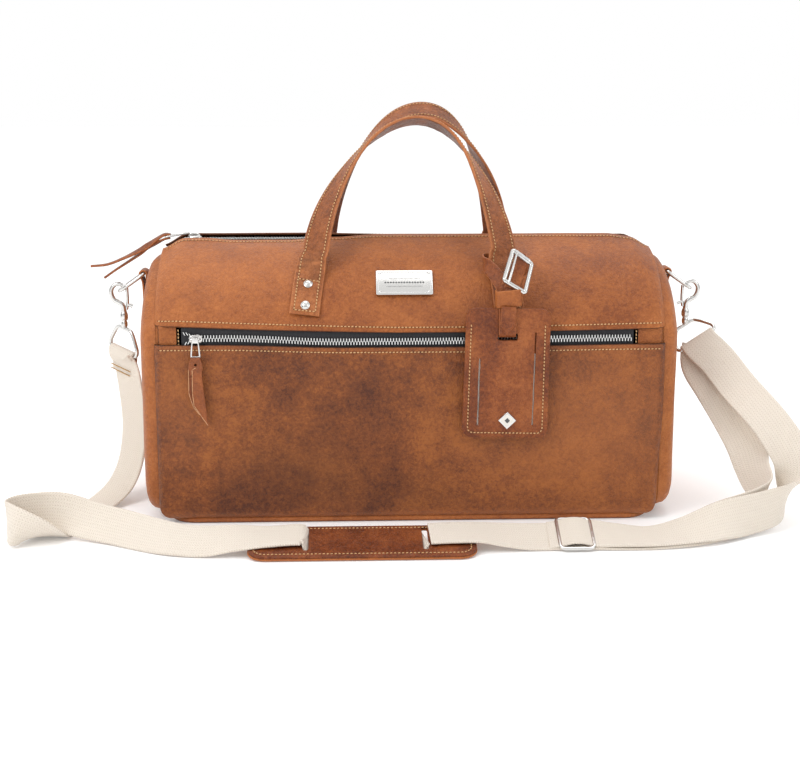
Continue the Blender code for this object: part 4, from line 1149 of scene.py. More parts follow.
def make_base():
    """The bottom panel, with an edge that is round in section."""
    reach = HALF_LENGTH + END_BULGE - 26
    rings = []
    for k in range(9):
        angle = -math.pi / 2 + math.pi * k / 8
        out = 3.4 * (math.cos(angle) - 1)
        rings.append(base_ring(reach + out, HALF_DEPTH - 3.0 + out, 26 + out, 3.5 + 3.5 * math.sin(angle)))
    rings.append(base_ring(reach - 30, HALF_DEPTH - 30, 12, BASE_TOP))
    points = [p for ring in rings for p in ring]
    # Paler on top of the rim and darker underneath: painted light and painted shade.
    shades = [-0.15 if p.z > 2 else 0.5 for p in points]
    bottom = add_mesh("base_panel", points, ring_faces(len(rings), len(rings[0])), UPPER_HIDE, None, shades,
                      sharp=50)
    fit(bottom, "bag", "upper_leather", "bottom_panel")


def make_shell_stitches():
    """Rows along both lips of the mouth, the flap's edge and the pocket's edge."""
    stops = spread(-HALF_LENGTH + 5, HALF_LENGTH - 5, 160)
    thread = Thread("shell_stitches")
    for side in (-1, 1):
        sewn_row(thread, [upper_point(x, 0.935, 0.30, side) for x in stops])
    sewn_row(thread, [upper_point(x, (flap_height(x) - SHOULDER + 5.4) / FLAP_SLOPE, 0.22) for x in stops])
    sewn_row(thread, [wall_point(x, pocket_height(x) - 5.0, 0.22) for x in spread(-240, 240, 160)])
    fit(thread.make(TAN_THREAD), "bag", "upper_leather")


def make_lining():
    """Dark cloth bag inside, seen only through the mouth."""
    rings = []
    for z in (12.0, 60.0, 130.0, 188.0, 208.0, 224.0, 234.0):
        share = min(max((z - SHOULDER + 4) / (RIDGE - SHOULDER), 0.0), 1.0)
        depth = HALF_DEPTH - LEATHER - 7.9
        depth -= (depth - 44) * share ** 1.5
        rings.append(base_ring(HALF_LENGTH - 14 - 10 * share, depth - 3.0, 14, z))
    inside = [[Vector((p.x * 0.985, p.y * 0.985, p.z)) for p in ring] for ring in reversed(rings[1:])]
    inside.append(base_ring(HALF_LENGTH - 15, HALF_DEPTH - 14.5, 14, 13.0))
    rings += inside
    points = [p for ring in rings for p in ring]
    cloth = add_mesh("inner_lining", points, ring_faces(len(rings), len(rings[0])), LINING_CLOTH)
    fit(cloth, "bag", "lining_cloth", "lining")
    board = slab("stiff_base", rounded_rectangle(474, 188, 16, 5), [], 2.0,
                 lambda a, b, c: Vector((a, b, BASE_TOP + 0.6 + c)), BOARD, 0.4)
    fit(board, "bag", "fibre_board", "base_board")


# ---------------------------------------------------------------- zips

class Teeth:
    """Collects zip teeth, each a small block with a softened top, into one object."""

    def __init__(self, name):
        self.name = name
        self.points = []
        self.faces = []

    def tooth(self, centre, along, reach, up, length, width, height):
        first = len(self.points)
        for rise, trim in ((0.0, 0.0), (0.7, 0.0), (1.0, 0.22)):
            a = along * (width / 2 - trim)
            for lengthways, sideways in ((-0.5, -1), (0.5, -1), (0.5, 1), (-0.5, 1)):
                cut = trim if lengthways > 0 else -trim
                flat = centre + reach * (length * lengthways - cut) + a * sideways
                self.points.append(flat + up * height * rise)
        self.faces += [tuple(first + q for q in face) for face in ring_faces(3, 4)]

    def make(self, mat):
        return add_mesh(self.name, self.points, self.faces, mat, sharp=30)


TEETH_PITCH = 2.8


def zip_teeth(name, low, high, place, split_at, nodes):
    """Two rows of meshed teeth; left of split_at the rows part."""
    teeth = Teeth(name)
    x = low
    k = 0
    while x < high:
        side = -1 if k % 2 else 1
        open_by = max(split_at - x, 0.0)
        off = side * (1.45 + min(open_by * 0.42, 3.2))
        here = place(x, off, 0.0)
        along = (place(x + 1, off, 0.0) - here).normalized()
        reach = (place(x, off + 1, 0.0) - here).normalized() * -side
        up = (place(x, off, 1.0) - here).normalized()
        if open_by:
            reach = (reach + along * 0.55).normalized()
        teeth.tooth(here, along, reach, up, 3.7, 1.35, 1.7)
        x += TEETH_PITCH / 2
        k += 1
    fit(teeth.make(DULL_NICKEL), "bag", "nickel", *nodes)


def ridge_height(x):
    return SHOULDER + (RIDGE - SHOULDER) * rise_scale(x)


def top_place(x, across, up):
    return Vector((x, across, ridge_height(x) - 3.8 + up))


def pocket_place(x, across, out):
    wander = 2.6 * smoothstep(-90, -180, x) - 1.4 * smoothstep(-130, -70, x) + 2.0 * smoothstep(0, 200, x)
    return Vector((x, -(HALF_DEPTH - LEATHER - 0.4) - out, POCKET_TEETH_Z + wander + across))


def zip_tape(name, half, place, stops, nodes):
    grid = []
    for x in stops:
        grid.append([(place(x, a, 0.0), (place(x, a, 1.0) - place(x, a, 0.0)).normalized())
                     for a in spread(-half, half, 9)])
    fit(skin(name, grid, 0.8, TAPE, 2), "bag", "zip_tape", *nodes)


def rounded_block(name, sections, mat):
    """Loft of superellipse sections: (middle, half across vector, half up vector)."""
    points = []
    sides = 20
    for middle, side, top in sections:
        for k in range(sides):
            a = 2 * math.pi * k / sides
            c, s = math.cos(a), math.sin(a)
            across, over = math.copysign(abs(c) ** 0.6, c), math.copysign(abs(s) ** 0.6, s)
            points.append(middle + side * across + top * over)
    return add_mesh(name, points, ring_faces(len(sections), sides), mat, sharp=50)


def zip_slider(name, base, along, across, up, scale, body, node):
    """Slider: a shield-shaped back with side guides and an arched bridge that holds the puller."""
    sections = []
    for place, half, tall in ((-6.6, 1.9, 0.8), (-6.0, 2.9, 1.1), (-4.0, 3.7, 1.35), (-1.0, 4.2, 1.45),
                              (2.5, 4.5, 1.45), (4.8, 3.9, 1.35), (6.2, 2.8, 1.05), (6.7, 1.6, 0.7)):
        sections.append((base + along * place * scale + up * 1.45, across * half * scale, up * tall))
    shell = rounded_block(name + "_shell", sections, NICKEL)
    arch = [base + along * a * scale + up * h
            for a, h in ((-5.0, 2.3), (-5.3, 4.0), (-3.4, 5.0), (0.0, 5.2), (3.2, 4.4), (4.6, 2.4))]
    bridge = tube(name + "_bridge", arch, 1.05, NICKEL, 12)
    fit(shell, body, "nickel", node)
    fit(bridge, body, "nickel")
    for side in (-1, 1):
        rail = [base + along * a * scale + across * side * h * scale + up * 2.3
                for a, h in ((-4.6, 2.4), (-1.0, 3.2), (3.0, 3.5), (5.0, 2.9))]
        fit(tube(name + ("_rail_left" if side < 0 else "_rail_right"), rail, 0.55, NICKEL, 8), body, "nickel")


def puller(name, start, ahead, across, up, length, width, body, node):
    """Cast puller: an eye at the slider end and a frame round an open window."""
    lower_edge = [(0.0, -0.24), (0.06, -0.30), (0.14, -0.34), (0.55, -0.46), (0.86, -0.5), (0.95, -0.47),
                  (1.0, -0.36)]
    lower_window = [(0.26, -0.22), (0.30, -0.26), (0.84, -0.34), (0.88, -0.30)]
    loops = [[(a * length, b * width) for a, b in half + [(a, -b) for a, b in reversed(half)]]
             for half in (lower_edge, lower_window)]
    made = slab(name, loops[0], loops[1:], 1.7,
                lambda a, b, c: start + ahead * a + across * b + up * (c - 0.15), NICKEL, 0.45)
    fit(made, body, "nickel", node)


def make_top_zip():
    """Top zip with its slider at the left end, and the thong whose two tails hang off its puller."""
    zip_tape("top_tape", 12.5, lambda x, a, u: top_place(x, a, u - 0.4 - 0.10 * abs(a)),
             rolled_stops(10.0, 8.0)[3:-3], ["top_zip_tape"])
    zip_teeth("top_teeth", -238.0, 238.0, top_place, -214.0, ["top_zip_teeth"])
    base = Vector((-214.0, 0, RIDGE - 3.2))
    zip_slider("top_slide", base, X, Y, Z, 1.0, "top_slider", "top_zip_slider")
    pivot = Vector((-219.0, 0, RIDGE + 3.0))
    slope = math.radians(9.0)
    ahead = Vector((-math.cos(slope), 0, -math.sin(slope)))
    lift = Vector((-math.sin(slope), 0, math.cos(slope)))
    puller("top_pull_plate", pivot + ahead * 0.6 - lift * 0.7, ahead, Y, lift, 25.0, 9.0, "top_puller",
           "top_zip_puller")
    tip = pivot + ahead * 22.0
    upper_tail = [(tip.x + 2.0, 0, tip.z + 1.4, 0, 1, 0), (tip.x - 4, 0, tip.z + 1.6, 0, 1, 0.1),
                  (tip.x - 12, -1, tip.z - 3, 0.2, 0.9, 0.4), (tip.x - 22, -2, tip.z - 10, 0.3, 0.6, 0.7),
                  (tip.x - 31, -2, tip.z - 15, 0, 0.9, 0.4), (tip.x - 46, -3, tip.z - 22, 0, 1, 0.1),
                  (tip.x - 62, -3, tip.z - 28, 0, 1, 0), (tip.x - 79, -1, tip.z - 30, 0, 1, 0)]
    lower_tail = [(tip.x + 1.6, 0, tip.z - 1.6, 0, 1, 0), (tip.x - 5, 0, tip.z - 3.4, 0, 1, -0.1),
                  (tip.x - 16, 1, tip.z - 9, -0.2, 0.9, -0.4), (tip.x - 28, 1, tip.z - 17, 0, 0.9, 0.2),
                  (tip.x - 40, 3, tip.z - 25, 0, 1, 0.1), (tip.x - 54, 5, tip.z - 34, 0, 1, 0),
                  (tip.x - 67, 6, tip.z - 43, 0, 1, 0)]
    for name, stations, nodes in (("top_thong_upper", upper_tail, ["top_pull_thong"]),
                                  ("top_thong_lower", lower_tail, [])):
        path = Path(stations, 1.5)

        def taper(mark, length=path.length):
            root = 0.85 + 0.15 * smoothstep(0, 12, mark)
            return root * (1 - 0.78 * smoothstep(length - 22, length, mark))

        thong = band(name, path, 8.4, 2.3, TRIM_HIDE, 8, 3, width_at=taper,
                     shade=lambda mark, a, sign: -0.45 if sign == 0 else (0.1 if sign > 0 else 0.3))
        fit(thong, "top_puller", "trim_leather", *nodes)


def make_pocket_zip():
    """Pocket zip, sewn down under a leather tab at each end."""
    zip_tape("pocket_tape", 10.6, lambda x, a, u: pocket_place(x, a, u - 0.5),
             spread(TAPE_LEFT - 6, TAPE_RIGHT + 6, 60), ["pocket_zip_tape"])
    zip_teeth("pocket_teeth", TAPE_LEFT + 2, TAPE_RIGHT - 1, pocket_place, -206.0, ["pocket_zip_teeth"])
    thread = Thread("zip_end_stitches")
    for hand, low, high, sewn in (("left", -HALF_LENGTH + 5, TAPE_LEFT, TAPE_LEFT - 3.6),
                                  ("right", TAPE_RIGHT, HALF_LENGTH - 4, TAPE_RIGHT + 3.6)):
        grid = []
        for x in spread(low, high, 10):
            y = -(HALF_DEPTH - LEATHER - 0.9) + corner_roll(x, 10.0)
            grid.append([(Vector((x, y, z)), -Y) for z in spread(168.0, 196.0, 8)])
        fit(skin("zip_end_" + hand, grid, 1.9, UPPER_HIDE, 2, lambda i, j, p: 0.12), "bag", "upper_leather",
            "pocket_zip_tab_" + hand)
        y = -(HALF_DEPTH - LEATHER - 0.6)
        sewn_row(thread, [(Vector((sewn, y, z)), -Y) for z in (176.0, 184.0, 193.0)], 3.2)
    fit(thread.make(TAN_THREAD), "bag", "upper_leather")
    base = pocket_place(-205.0, 0, 2.0)
    zip_slider("pocket_slide", base, X, Z, -Y, 0.95, "pocket_slider", "pocket_zip_slider")
    pivot = Vector((-205.0, -118.4, 184.7))
    puller("pocket_pull_plate", pivot + Vector((0, -0.7, 1.0)), -Z, X, -Y, 20.0, 9.4, "pocket_puller",
           "pocket_zip_puller")
    make_leather_pull(pivot)


def make_leather_pull(pivot):
    """Folded leather tab on the pocket puller: it passes through its own slit and ends in two tails."""
    top = pivot.z - 17.5
    face = -(HALF_DEPTH + 7.4)
    neck_outline = [(-4.4, 0.0), (4.4, 0.0), (6.2, -5.0), (7.0, -11.0), (4.5, -17.0), (0.0, -12.5),
                    (-4.5, -17.0), (-7.0, -11.0), (-6.2, -5.0)]
    hole = [(1.2 * math.cos(a), -7.0 + 1.2 * math.sin(a)) for a in (2 * math.pi * k / 12 for k in range(12))]
    neck = slab("pull_neck", neck_outline, [hole], 2.0,
                lambda a, b, c: Vector((pivot.x + a, face - c, top + b)), TRIM_HIDE, 0.6, -0.25)
    fit(neck, "pocket_puller", "trim_leather", "pocket_pull_leather")
    back = slab("pull_neck_back", neck_outline, [], 1.6,
                lambda a, b, c: Vector((pivot.x + a * 0.96, face + 3.6 - c, top + b)), TRIM_HIDE, 0.5, 0.3)
    fit(back, "pocket_puller", "trim_leather")
    tails = (("pull_tail_front", (-3.2, 5.8), 10.5, 1.5, 66.0, -0.2),
             ("pull_tail_back", (-6.8, 2.0), 3.0, -0.4, 56.0, 0.05))
    for name, (left, right), tip_x, lift, length, tone in tails:
        outline = [(left, -11.5), ((left + right) / 2, -9.0), (right, -11.5), (right + 0.3, -20.0),
                   (right + 1.6, -34.0), (right + 3.6, -length * 0.78), (tip_x, -length),
                   (tip_x - 6.0, -length * 0.86), (left + 1.0, -length * 0.70), (left - 0.2, -34.0),
                   (left, -18.0)]

        def place(a, b, c, lift=lift):
            return Vector((pivot.x + a, face + 1.2 - lift - c + 0.9 * math.sin((b + 12) / 17.0), top + b))

        fit(slab(name, outline, [], 1.7, place, TRIM_HIDE, 0.55, tone), "pocket_puller", "trim_leather")
        edge = Thread(name + "_edge")
        rim = [(place(a, b, 1.5), -Y) for a, b in outline[6:] + outline[:2]]
        for (p, normal), (q, _) in zip(rim, rim[1:]):
            edge.stitch(p, q + (q - p) * 0.05, normal, 0.42)
        fit(edge.make(RAW_EDGE), "pocket_puller", "trim_leather")


# ---------------------------------------------------------------- handles

def leg_x(side, t):
    """Middle of a handle leg, from its lower end (t = 0) to the hinge (t = 1)."""
    return side * (HANDLE_HALF + TAB_SPREAD * (1 - t)) - 2.0 - 2.0 * (1 - t)


FOOT_TWIST = 30.0                # degrees that a leg has turned edge-on by the time it reaches the hinge
ROW_INSET = 10.2                 # from the middle of a handle strap to each of its rows of stitches
FOOT_ROWS = 37.0                 # length of the sewn frame of stitches on each foot


def leg_stations(side, face):
    """The sewn part of a leg, lying on the panel and then standing up with the start of a twist."""
    stations = []
    for t in spread(0.10, 0.37, 6):
        share = (t - 0.10) / 0.6
        x = leg_x(side, share)
        point, _ = upper_point(x, t, STRAP_THICK / 2 + 0.35, face)
        stations.append((x, point.y, point.z, -side, 0, 0))
    for y, z, share, part in ((82.0, 246.5, 0.7, 0.35), (77.0, 255.0, 0.87, 0.75)):
        turn = math.radians(FOOT_TWIST * part)
        stations.append((leg_x(side, share), face * y, z, -side * math.cos(turn), face * math.sin(turn), 0))
    return stations


def handle_stations(face, apex_z):
    """A whole handle, from the foot of the left leg over the top to the foot of the right one."""
    stations = leg_stations(-1, face)
    steps = 30
    for k in range(steps + 1):
        angle = math.pi * k / steps
        rise = math.sin(angle)
        side = -math.cos(angle)
        x = HANDLE_HALF * side * (1 - 0.17 * rise) + 9.0 * rise * rise
        lean_in = 1 - smoothstep(-0.25, 1.0, rise) + 0.104 * (1 - rise)
        y = face * (APEX_Y + (HINGE_Y - APEX_Y) * lean_in)
        z = HINGE_Z + (apex_z - HINGE_Z) * rise
        turn = math.radians(FOOT_TWIST + (90 - FOOT_TWIST) * smoothstep(0.0, 1.0, rise))
        lean = math.radians(17.0 if face < 0 else 30.0) * smoothstep(0.5, 1.0, rise)
        sign = 1 if side < 0 else -1
        stations.append((x, y, z, sign * math.cos(turn), face * math.sin(turn) * math.cos(lean),
                         math.sin(turn) * math.sin(lean)))
    return stations + leg_stations(1, face)[::-1]


def make_handle(row, face, apex, shift):
    """One strap from foot to foot, its stitches and its rivets, moved sideways by shift."""
    path = Path([(x + shift, *rest) for x, *rest in handle_stations(face, apex)], 1.6)
    outer = face                      # the band's face sign that is the handle's outer side
    bend = [35.0, path.length - 35.0]

    def relief(mark, a, sign):
        near = max(math.exp(-((mark - b - 18) / 26.0) ** 2) for b in bend)
        along = Vector((mark / 5.0, a / 16.0, sign * 3.0 + face))
        crease = noise.noise(along) * 1.3 * near
        under = noise.noise(Vector((mark / 7.0, a / 9.0, 7.0 + sign))) * (0.5 if sign == -outer else 0.12)
        return crease + under - 0.5 * smoothstep(11.0, 14.5, abs(a)) ** 2

    def shade(mark, a, sign):
        if sign == 0:
            return -0.55
        worn = -0.30 * smoothstep(12.2, 14.4, abs(a))
        # The inner face is darker: painted shade. The outer face darkens in blotches near each bend.
        if sign == -outer:
            return 0.38 + 0.25 * noise.noise(Vector((mark / 9.0, a / 9.0, 1.0))) + worn
        near = max(math.exp(-((mark - b - 18) / 24.0) ** 2) for b in bend)
        return 0.50 * near * (0.5 + noise.noise(Vector((mark / 4.0, a / 12.0, 4.0)))) + worn

    strap = band(row + "_handle", path, STRAP_WIDTH, STRAP_THICK, HANDLE_HIDE, 22, 4, relief, None, shade)
    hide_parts("handle_tab_%s_left" % row, "handle_tab_%s_right" % row, row + "_handle_loop")
    thread = Thread(row + "_handle_stitches")
    for edge in (-ROW_INSET, ROW_INSET):
        samples = []
        for mark in spread(4.0, path.length - 4.0, 300):
            lift = (STRAP_THICK / 2 + relief(mark, edge, outer) + 0.2) * outer
            point, normal = path.at(mark, edge, lift)
            samples.append((point, normal * outer))
        sewn_row(thread, samples)
    for mark in (4.0, FOOT_ROWS, path.length - 4.0, path.length - FOOT_ROWS):
        samples = []
        for a in spread(-ROW_INSET, ROW_INSET, 8):
            point, normal = path.at(mark, a, (STRAP_THICK / 2 + relief(mark, a, outer) + 0.2) * outer)
            samples.append((point, normal * outer))
        sewn_row(thread, samples)
    sewing = thread.make(TAN_THREAD)
    for thing in (strap, sewing):
        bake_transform(thing)
    for side, hand in ((-1, "left"), (1, "right")):
        for step, level in zip(RIVET_STEPS, ("lower", "upper")):
            x = leg_x(side, (step - 0.10) / 0.6)
            place, normal = upper_point(x, step, STRAP_THICK + 0.4, face)
            place.x += shift
            name = "%s_%s_%s" % (row, hand, level)
            fit(dome("rivet_cap_" + name, place, normal, 4.5, 2.3, NICKEL), "bag", "nickel", "rivet_" + name)


def make_handles():
    make_handle("front", -1, FRONT_APEX_Z, 0.0)
    make_handle("rear", 1, REAR_APEX_Z, 7.0)


# ---------------------------------------------------------------- name plate and luggage tag

def make_name_plate():
    """Metal plate with a raised rim, four pins, a row of small diamonds and two rows of dashes."""
    point, normal = upper_point(-6.0, 0.365, 0.9)
    up = normal.cross(X)
    if up.z < 0:
        up = -up

    def place(a, b, c):
        return point + X * a + up * b + normal * c

    fit(slab("plate", rounded_rectangle(54.5, 28.4, 1.4, 4), [], 1.5, place, NICKEL, 0.5), "bag", "nickel",
        "name_plate")
    rim = slab("plate_rim", rounded_rectangle(50.5, 24.4, 1.0, 3), [rounded_rectangle(49.3, 23.2, 0.6, 3)],
               0.35, lambda a, b, c: place(a, b, c + 1.45), DULL_NICKEL, 0.1)
    fit(rim, "bag", "nickel")
    for k, (a, b) in enumerate(((-23.6, -10.8), (23.6, -10.8), (23.6, 10.8), (-23.6, 10.8))):
        fit(dome("plate_pin_%d" % (k + 1), place(a, b, 1.4), normal, 1.5, 0.9, NICKEL, 16), "bag", "nickel")
    marks = Teeth("plate_pattern")
    for k in range(-7, 8):
        marks.tooth(place(k * 2.6, 0.0, 1.4), (X + up).normalized(), (up - X).normalized(), normal,
                    1.7, 1.7, 0.25)
    for row_z, reach in ((4.6, 12), (-4.6, 14)):
        for k in range(-reach, reach + 1):
            marks.tooth(place(k * 1.2, row_z, 1.4), X, up, normal, 1.0, 0.5, 0.2)
    fit(marks.make(ENGRAVED), "bag", "nickel")


def tag_place(depth):
    """Place on the tag's plane at this depth, turned with the tag's slight tilt."""
    def place(a, b, c):
        x = a * math.cos(TAG_TILT) + b * math.sin(TAG_TILT)
        z = b * math.cos(TAG_TILT) - a * math.sin(TAG_TILT)
        return Vector((TAG_X + x, depth - c, TAG_TOP - TAG_HEIGHT / 2 + z))
    return place


def slit(middle, low, high, width):
    """Narrow upright opening whose sides wander a little."""
    left = [(middle - width / 2 + 0.15 * math.sin(z / 6.0), z) for z in spread(high, low, 8)]
    right = [(middle + width / 2 + 0.15 * math.sin(z / 5.0), z) for z in spread(low, high, 8)]
    return left + right


def make_tag():
    """Two sewn leathers with a card between them, slits in the front one and a blank diamond badge."""
    slot_z = TAG_HEIGHT / 2 - 27.0
    slot = [(a, b + slot_z) for a, b in rounded_rectangle(19, 7.0, 1.5, 3)]
    body = rounded_rectangle(TAG_WIDTH, TAG_HEIGHT, 9, 7)
    body = [(a * (1 - 0.012 * (b / 60.0)), b) for a, b in body]
    slits = [slit(-26.2, -51.0, 14.0, 1.3), slit(26.4, -50.0, 40.0, 1.1)]
    fit(slab("tag_lower_leather", body, [slot], 1.8, tag_place(TAG_BACK_Y), TRIM_HIDE, 0.5), "luggage_tag",
        "trim_leather", "tag_back")
    fit(slab("tag_upper_leather", body, [slot] + slits, 1.8, tag_place(TAG_BACK_Y - 2.5), TRIM_HIDE, 0.55),
        "luggage_tag", "trim_leather", "tag_front")
    card = [(a, b - 18) for a, b in rounded_rectangle(TAG_WIDTH - 14, TAG_HEIGHT - 50, 2, 2)]
    fit(slab("address_card", card, [], 0.4, tag_place(TAG_BACK_Y - 2.0), CARD, 0.1), "luggage_tag", "card",
        "tag_card")
    thread = Thread("tag_stitches")
    face = tag_place(TAG_BACK_Y - 4.3)
    edge_x, low = TAG_WIDTH / 2 - 4.6, -TAG_HEIGHT / 2 + 4.6
    track = [(edge_x - 0.8, TAG_HEIGHT / 2 - 15)]
    for k in range(7):
        angle = math.pi / 2 * k / 6
        track.append((edge_x - 5 + 5 * math.cos(angle), low + 5 - 5 * math.sin(angle)))
    track += [(-a, b) for a, b in reversed(track)]
    samples = [(face(a, b, 0.2), -Y) for a, b in track]
    sewn_row(thread, samples)
    fit(thread.make(TAN_THREAD), "luggage_tag", "trim_leather")
    for name, size, depth, mat in (("badge_plate", 8.5, 4.4, NICKEL), ("badge_field", 6.4, 5.5, CARD),
                                   ("badge_mark", 2.6, 5.85, ENGRAVED)):
        diamond = [(size, 0), (0, size), (-size, 0), (0, -size)]
        shape = [(a + 2.0, b - TAG_HEIGHT / 2 + 17.0) for a, b in diamond]
        height = 1.2 if name == "badge_plate" else 0.35
        made = slab(name, shape, [], height, tag_place(TAG_BACK_Y - depth), mat, 0.15)
        nodes = ["tag_badge"] if name == "badge_plate" else []
        fit(made, "luggage_tag", "nickel", *nodes)


def make_tag_strap():
    """The tag's strap: its loop through the tag, its turn round the handle leg, keeper, buckle and prong."""
    lower_top = TAG_TOP + 0.5
    slot_z = TAG_TOP - 27.0
    back, front = TAG_BACK_Y + 2.0, TAG_BACK_Y - 6.4
    middle = (back + front) / 2
    pale_edge = lambda mark, a, sign: -0.55 if sign == 0 else 0.0
    loop = [(TAG_X, back, lower_top), (TAG_X, back, slot_z + 10), (TAG_X, back - 0.6, slot_z + 3),
            (TAG_X, middle, slot_z + 0.2), (TAG_X, front + 0.6, slot_z + 3), (TAG_X, front, slot_z + 10),
            (TAG_X, front, lower_top)]
    lower = band("tag_loop_lower", Path([(*p, 1, 0, 0) for p in loop], 1.2), 16.5, 1.8, TRIM_HIDE, 12, 3,
                 shade=pale_edge)
    fit(lower, "luggage_tag", "trim_leather", "tag_strap_lower")
    tail = [(90.6, front - 2.1, lower_top + 2), (90.0, front - 2.1, slot_z + 16),
            (88.6, front - 1.9, slot_z + 3)]
    tail_path = Path([(*p, 1, 0, 0) for p in tail], 1.0)
    end = tail_path.length
    tip = band("tag_strap_tip", tail_path, 14.0, 1.6, TRIM_HIDE, 12, 3, shade=pale_edge,
               width_at=lambda mark: 1 - 0.86 * smoothstep(end - 11, end, mark) ** 1.3)
    fit(tip, "luggage_tag", "trim_leather")
    up = TAG_TOP + 1.6
    rise = (0, 0.31, 0.95)
    upper = [(90, -119.5, up, 1, 0, 0), (89, -118, 226, 1, 0, 0.1), (82, -109, 240, 0.8, 0.1, 0.5),
             (73.5, -96, 249, 0.25, 0.3, 0.9), (71, -85, 250, *rise), (73, -74.8, 252, *rise),
             (82, -72.8, 252.3, *rise), (92, -72.7, 252.3, *rise), (101, -72.8, 252.3, *rise),
             (110.5, -74.8, 252, *rise), (112.5, -85, 249.5, *rise), (111, -96, 249, 0.1, 0.2, 0.95),
             (106, -106, 243, 0.4, 0, 0.9), (99, -114, 234, 0.8, 0, 0.5),
             (93, -122, 225, 1, 0, 0.1), (91, -124.5, up, 1, 0, 0)]
    strap = band("tag_loop_upper", Path(upper, 1.4), 14.0, 1.7, TRIM_HIDE, 12, 3,
                 shade=lambda mark, a, sign: -0.6 if sign == 0 else 0.05)
    fit(strap, "bag", "trim_leather", "tag_strap_upper")
    ring = []
    for a, b in rounded_rectangle(23.5, 13.5, 3.5, 5):
        ring.append((a + 91.2, b - 122.0, 222.6 + 0.10 * a, 0, 0, 1))
    ring.append(ring[0])
    keeper = band("tag_keeper_band", Path(ring, 0.9), 16.0, 1.9, UPPER_HIDE, 8, 3,
                  shade=lambda mark, a, sign: -0.4 if sign == 0 else -0.1)
    fit(keeper, "bag", "trim_leather", "tag_keeper")
    corners = [Vector((96.5, -108, 266)), Vector((114, -111, 253)), Vector((106, -127, 228)),
               Vector((86.5, -125, 240))]
    outline = []
    for k, corner in enumerate(corners):
        before, after = corners[k - 1], corners[(k + 1) % 4]
        for share in (3.6, 1.4):
            outline.append(corner + (before - corner).normalized() * share)
        for share in (1.4, 3.6):
            outline.append(corner + (after - corner).normalized() * share)
    fit(tube("buckle_frame", outline, 2.2, NICKEL, 14, closed=True), "bag", "nickel", "tag_buckle")
    bar_a, bar_b = corners[0].lerp(corners[1], 0.14), corners[0].lerp(corners[1], 0.86)
    roller = tube("buckle_roller", [bar_a, bar_a.lerp(bar_b, 0.5), bar_b], 2.6, DULL_NICKEL, 16,
                  radius_at=lambda s: 1.0 + 0.05 * math.cos(60 * s))
    fit(roller, "bag", "nickel")
    across = (0.795, -0.136, -0.59)
    places = ((94.0, -122.0, 231.0), (100.0, -115.5, 246.5), (105.5, -107.5, 261.0))
    through = Path([(*place, *across) for place in places], 1.4)
    fit(band("tag_loop_end", through, 14.0, 1.7, TRIM_HIDE, 12, 3, shade=pale_edge), "bag", "trim_leather")
    hinge = corners[3].lerp(corners[2], 0.20) + Vector((0, -2.6, 0))
    rest = corners[0].lerp(corners[1], 0.20) + Vector((0, -3.4, 1.5))
    prong = tube("buckle_tongue", [hinge, (hinge + rest) / 2 + Vector((0, -1.2, 0)), rest], 1.2, NICKEL, 12,
                 radius_at=lambda s: 1.15 - 0.35 * s)
    fit(prong, "buckle_prong", "nickel", "tag_prong")


# ---------------------------------------------------------------- strap fittings

def ring_frame(side):
    """A D-ring's pivot and the direction that the ring lies in."""
    pivot = Vector((side * RING_PIVOT.x, 0, RING_PIVOT.z))
    return pivot, Vector((side * math.cos(RING_SLOPE), 0, -math.sin(RING_SLOPE)))


def make_dring(side, hand):
    """D-ring of bent wire and the leather tab that is folded round its bar."""
    pivot, out = ring_frame(side)
    half, arm, wire = 13.0, 18.0, 2.0
    body = hand + "_ring"
    points = [pivot + Vector((0, y, 0)) for y in (-half + 3, -5.0, 5.0, half - 3)]
    points.append(pivot + Vector((0, half - 0.2, 0)) + out * 1.6)
    for k in range(13):
        angle = math.pi * k / 12
        points.append(pivot + out * (arm + half * math.sin(angle)) + Vector((0, half * math.cos(angle), 0)))
    points.append(pivot + Vector((0, -half + 0.2, 0)) + out * 1.6)
    fit(tube("d_ring_" + hand, points, wire, NICKEL, 16, closed=True), body, "nickel", "dring_" + hand)
    loop = [(pivot.x - side * 1.2, 0, 203.0, 0, 1, 0), (pivot.x - side * 3.6, 0, 214.0, 0, 1, 0)]
    for k in range(11):
        angle = math.pi * 1.05 - math.pi * 1.25 * k / 10
        loop.append((pivot.x + side * 3.5 * math.cos(angle), 0, pivot.z + 3.5 * math.sin(angle), 0, 1, 0))
    loop += [(pivot.x + side * 0.4, 0, 222.0, 0, 1, 0), (pivot.x - side * 0.2, 0, 205.0, 0, 1, 0)]
    tab = band("ring_tab_" + hand, Path(loop, 1.0), 20.0, 2.0, UPPER_HIDE, 12, 3,
               shade=lambda mark, a, sign: -0.4 if sign == 0 else 0.0)
    fit(tab, "bag", "upper_leather", "dring_tab_" + hand)


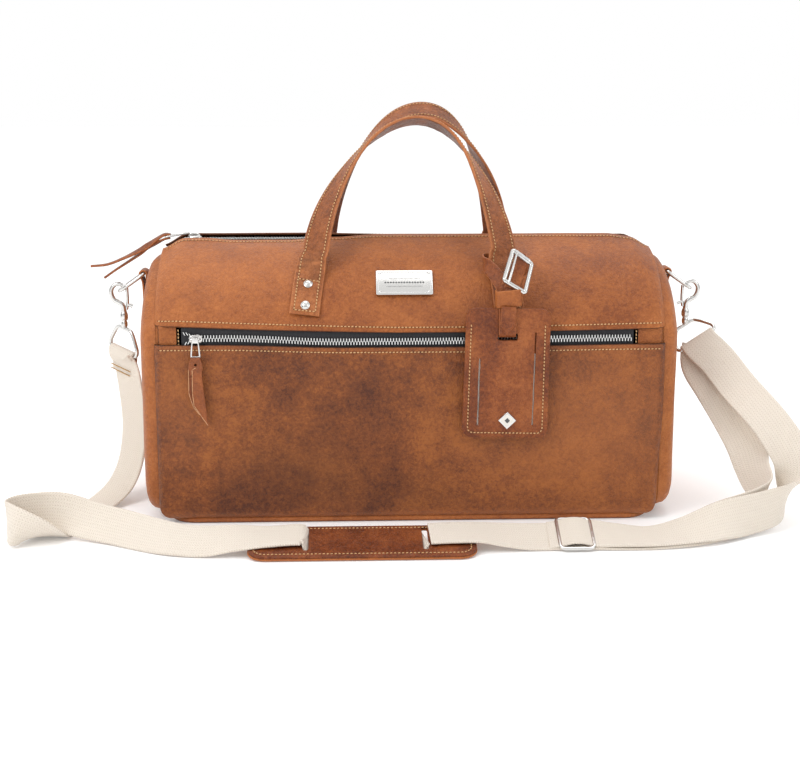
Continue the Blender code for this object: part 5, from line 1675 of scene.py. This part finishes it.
def make_snap(side, hand, bar, drop):
    """Trigger snap: a bent hook on a swivel, its spring bolt with a thumb knob, and the webbing's eye."""
    body = hand + "_ring"
    bolt_body = hand + "_bolt"

    def at(x, z, y=0.0):
        return Vector((side * x, y, z))

    hook = [at(x, z) for x, z in ((288.5, 186), (288.5, 192), (289.2, 197.5), (292.5, 200.8),
                                  (297.5, 203.5), (300.2, 208.5), (300.4, 214), (297.5, 218.6),
                                  (292.8, 220.3), (288.6, 218.6))]
    fit(tube("hook_" + hand, hook, 2.4, NICKEL, 14, radius_at=lambda s: 1.25 - 0.42 * s), body, "nickel",
        "snap_hook_" + hand)
    barrel = []
    for z, radius in ((174.5, 1.8), (176.0, 3.0), (178.0, 3.4), (180.0, 3.4), (181.5, 2.9), (182.4, 2.5),
                      (183.2, 3.5), (185.0, 4.1), (188.0, 4.1), (190.5, 3.5), (192.5, 2.4)):
        for k in range(20):
            a = 2 * math.pi * k / 20
            barrel.append(at(288.5 + radius * math.cos(a), z, radius * math.sin(a)))
    fit(add_mesh("swivel_" + hand, barrel, ring_faces(11, 20), NICKEL, sharp=50), body, "nickel")
    bolt = [at(284.6, 215.8), at(284.4, 208), at(284.4, 200), at(285.6, 194)]
    fit(tube("bolt_" + hand, bolt, 1.6, NICKEL, 12), bolt_body, "nickel", "snap_bolt_" + hand)
    knob = tube("bolt_knob_" + hand, [at(284.2, 199.0), at(281.5, 198.2), at(279.2, 197.2)], 2.1, NICKEL, 12,
                radius_at=lambda s: 0.75 + 0.35 * s)
    fit(knob, bolt_body, "nickel")
    top = at(288.5, 174.2)
    along, down = bar.normalized(), drop.normalized()
    shape = [(-8, 0), (0, 0), (8, 0), (13, 3), (20, 14), (22, 19), (21, 23), (17, 25), (6, 25), (-6, 25),
             (-17, 25), (-21, 23), (-22, 19), (-20, 14), (-13, 3)]
    eye = tube("eye_" + hand, [top + along * a + down * b for a, b in shape], 2.0, NICKEL, 14, closed=True)
    fit(eye, body, "nickel", "snap_eye_" + hand)


LINING_CLOTH = plain_cloth("lining_weave", (0.035, 0.030, 0.026))
BOARD = plain_cloth("board_weave", (0.16, 0.12, 0.09))
CARD = plain_cloth("card_stock", (0.86, 0.83, 0.76))
ENGRAVED = nickel("engraved_metal", 0.45, (0.13, 0.13, 0.13))
RAW_EDGE = sewing_thread("raw_edge", (0.46, 0.22, 0.10), (0.66, 0.36, 0.18))


def main():
    make_stage()
    make_strap()
    make_shell()
    make_shell_stitches()
    make_gussets()
    make_base()
    make_lining()
    make_top_zip()
    make_pocket_zip()
    make_handles()
    make_name_plate()
    make_tag()
    make_tag_strap()
    for side, hand, bar, drop in ((-1, "left", LEFT_BAR, LEFT_DROP), (1, "right", RIGHT_BAR, RIGHT_DROP)):
        make_dring(side, hand)
        make_snap(side, hand, bar, drop)


main()
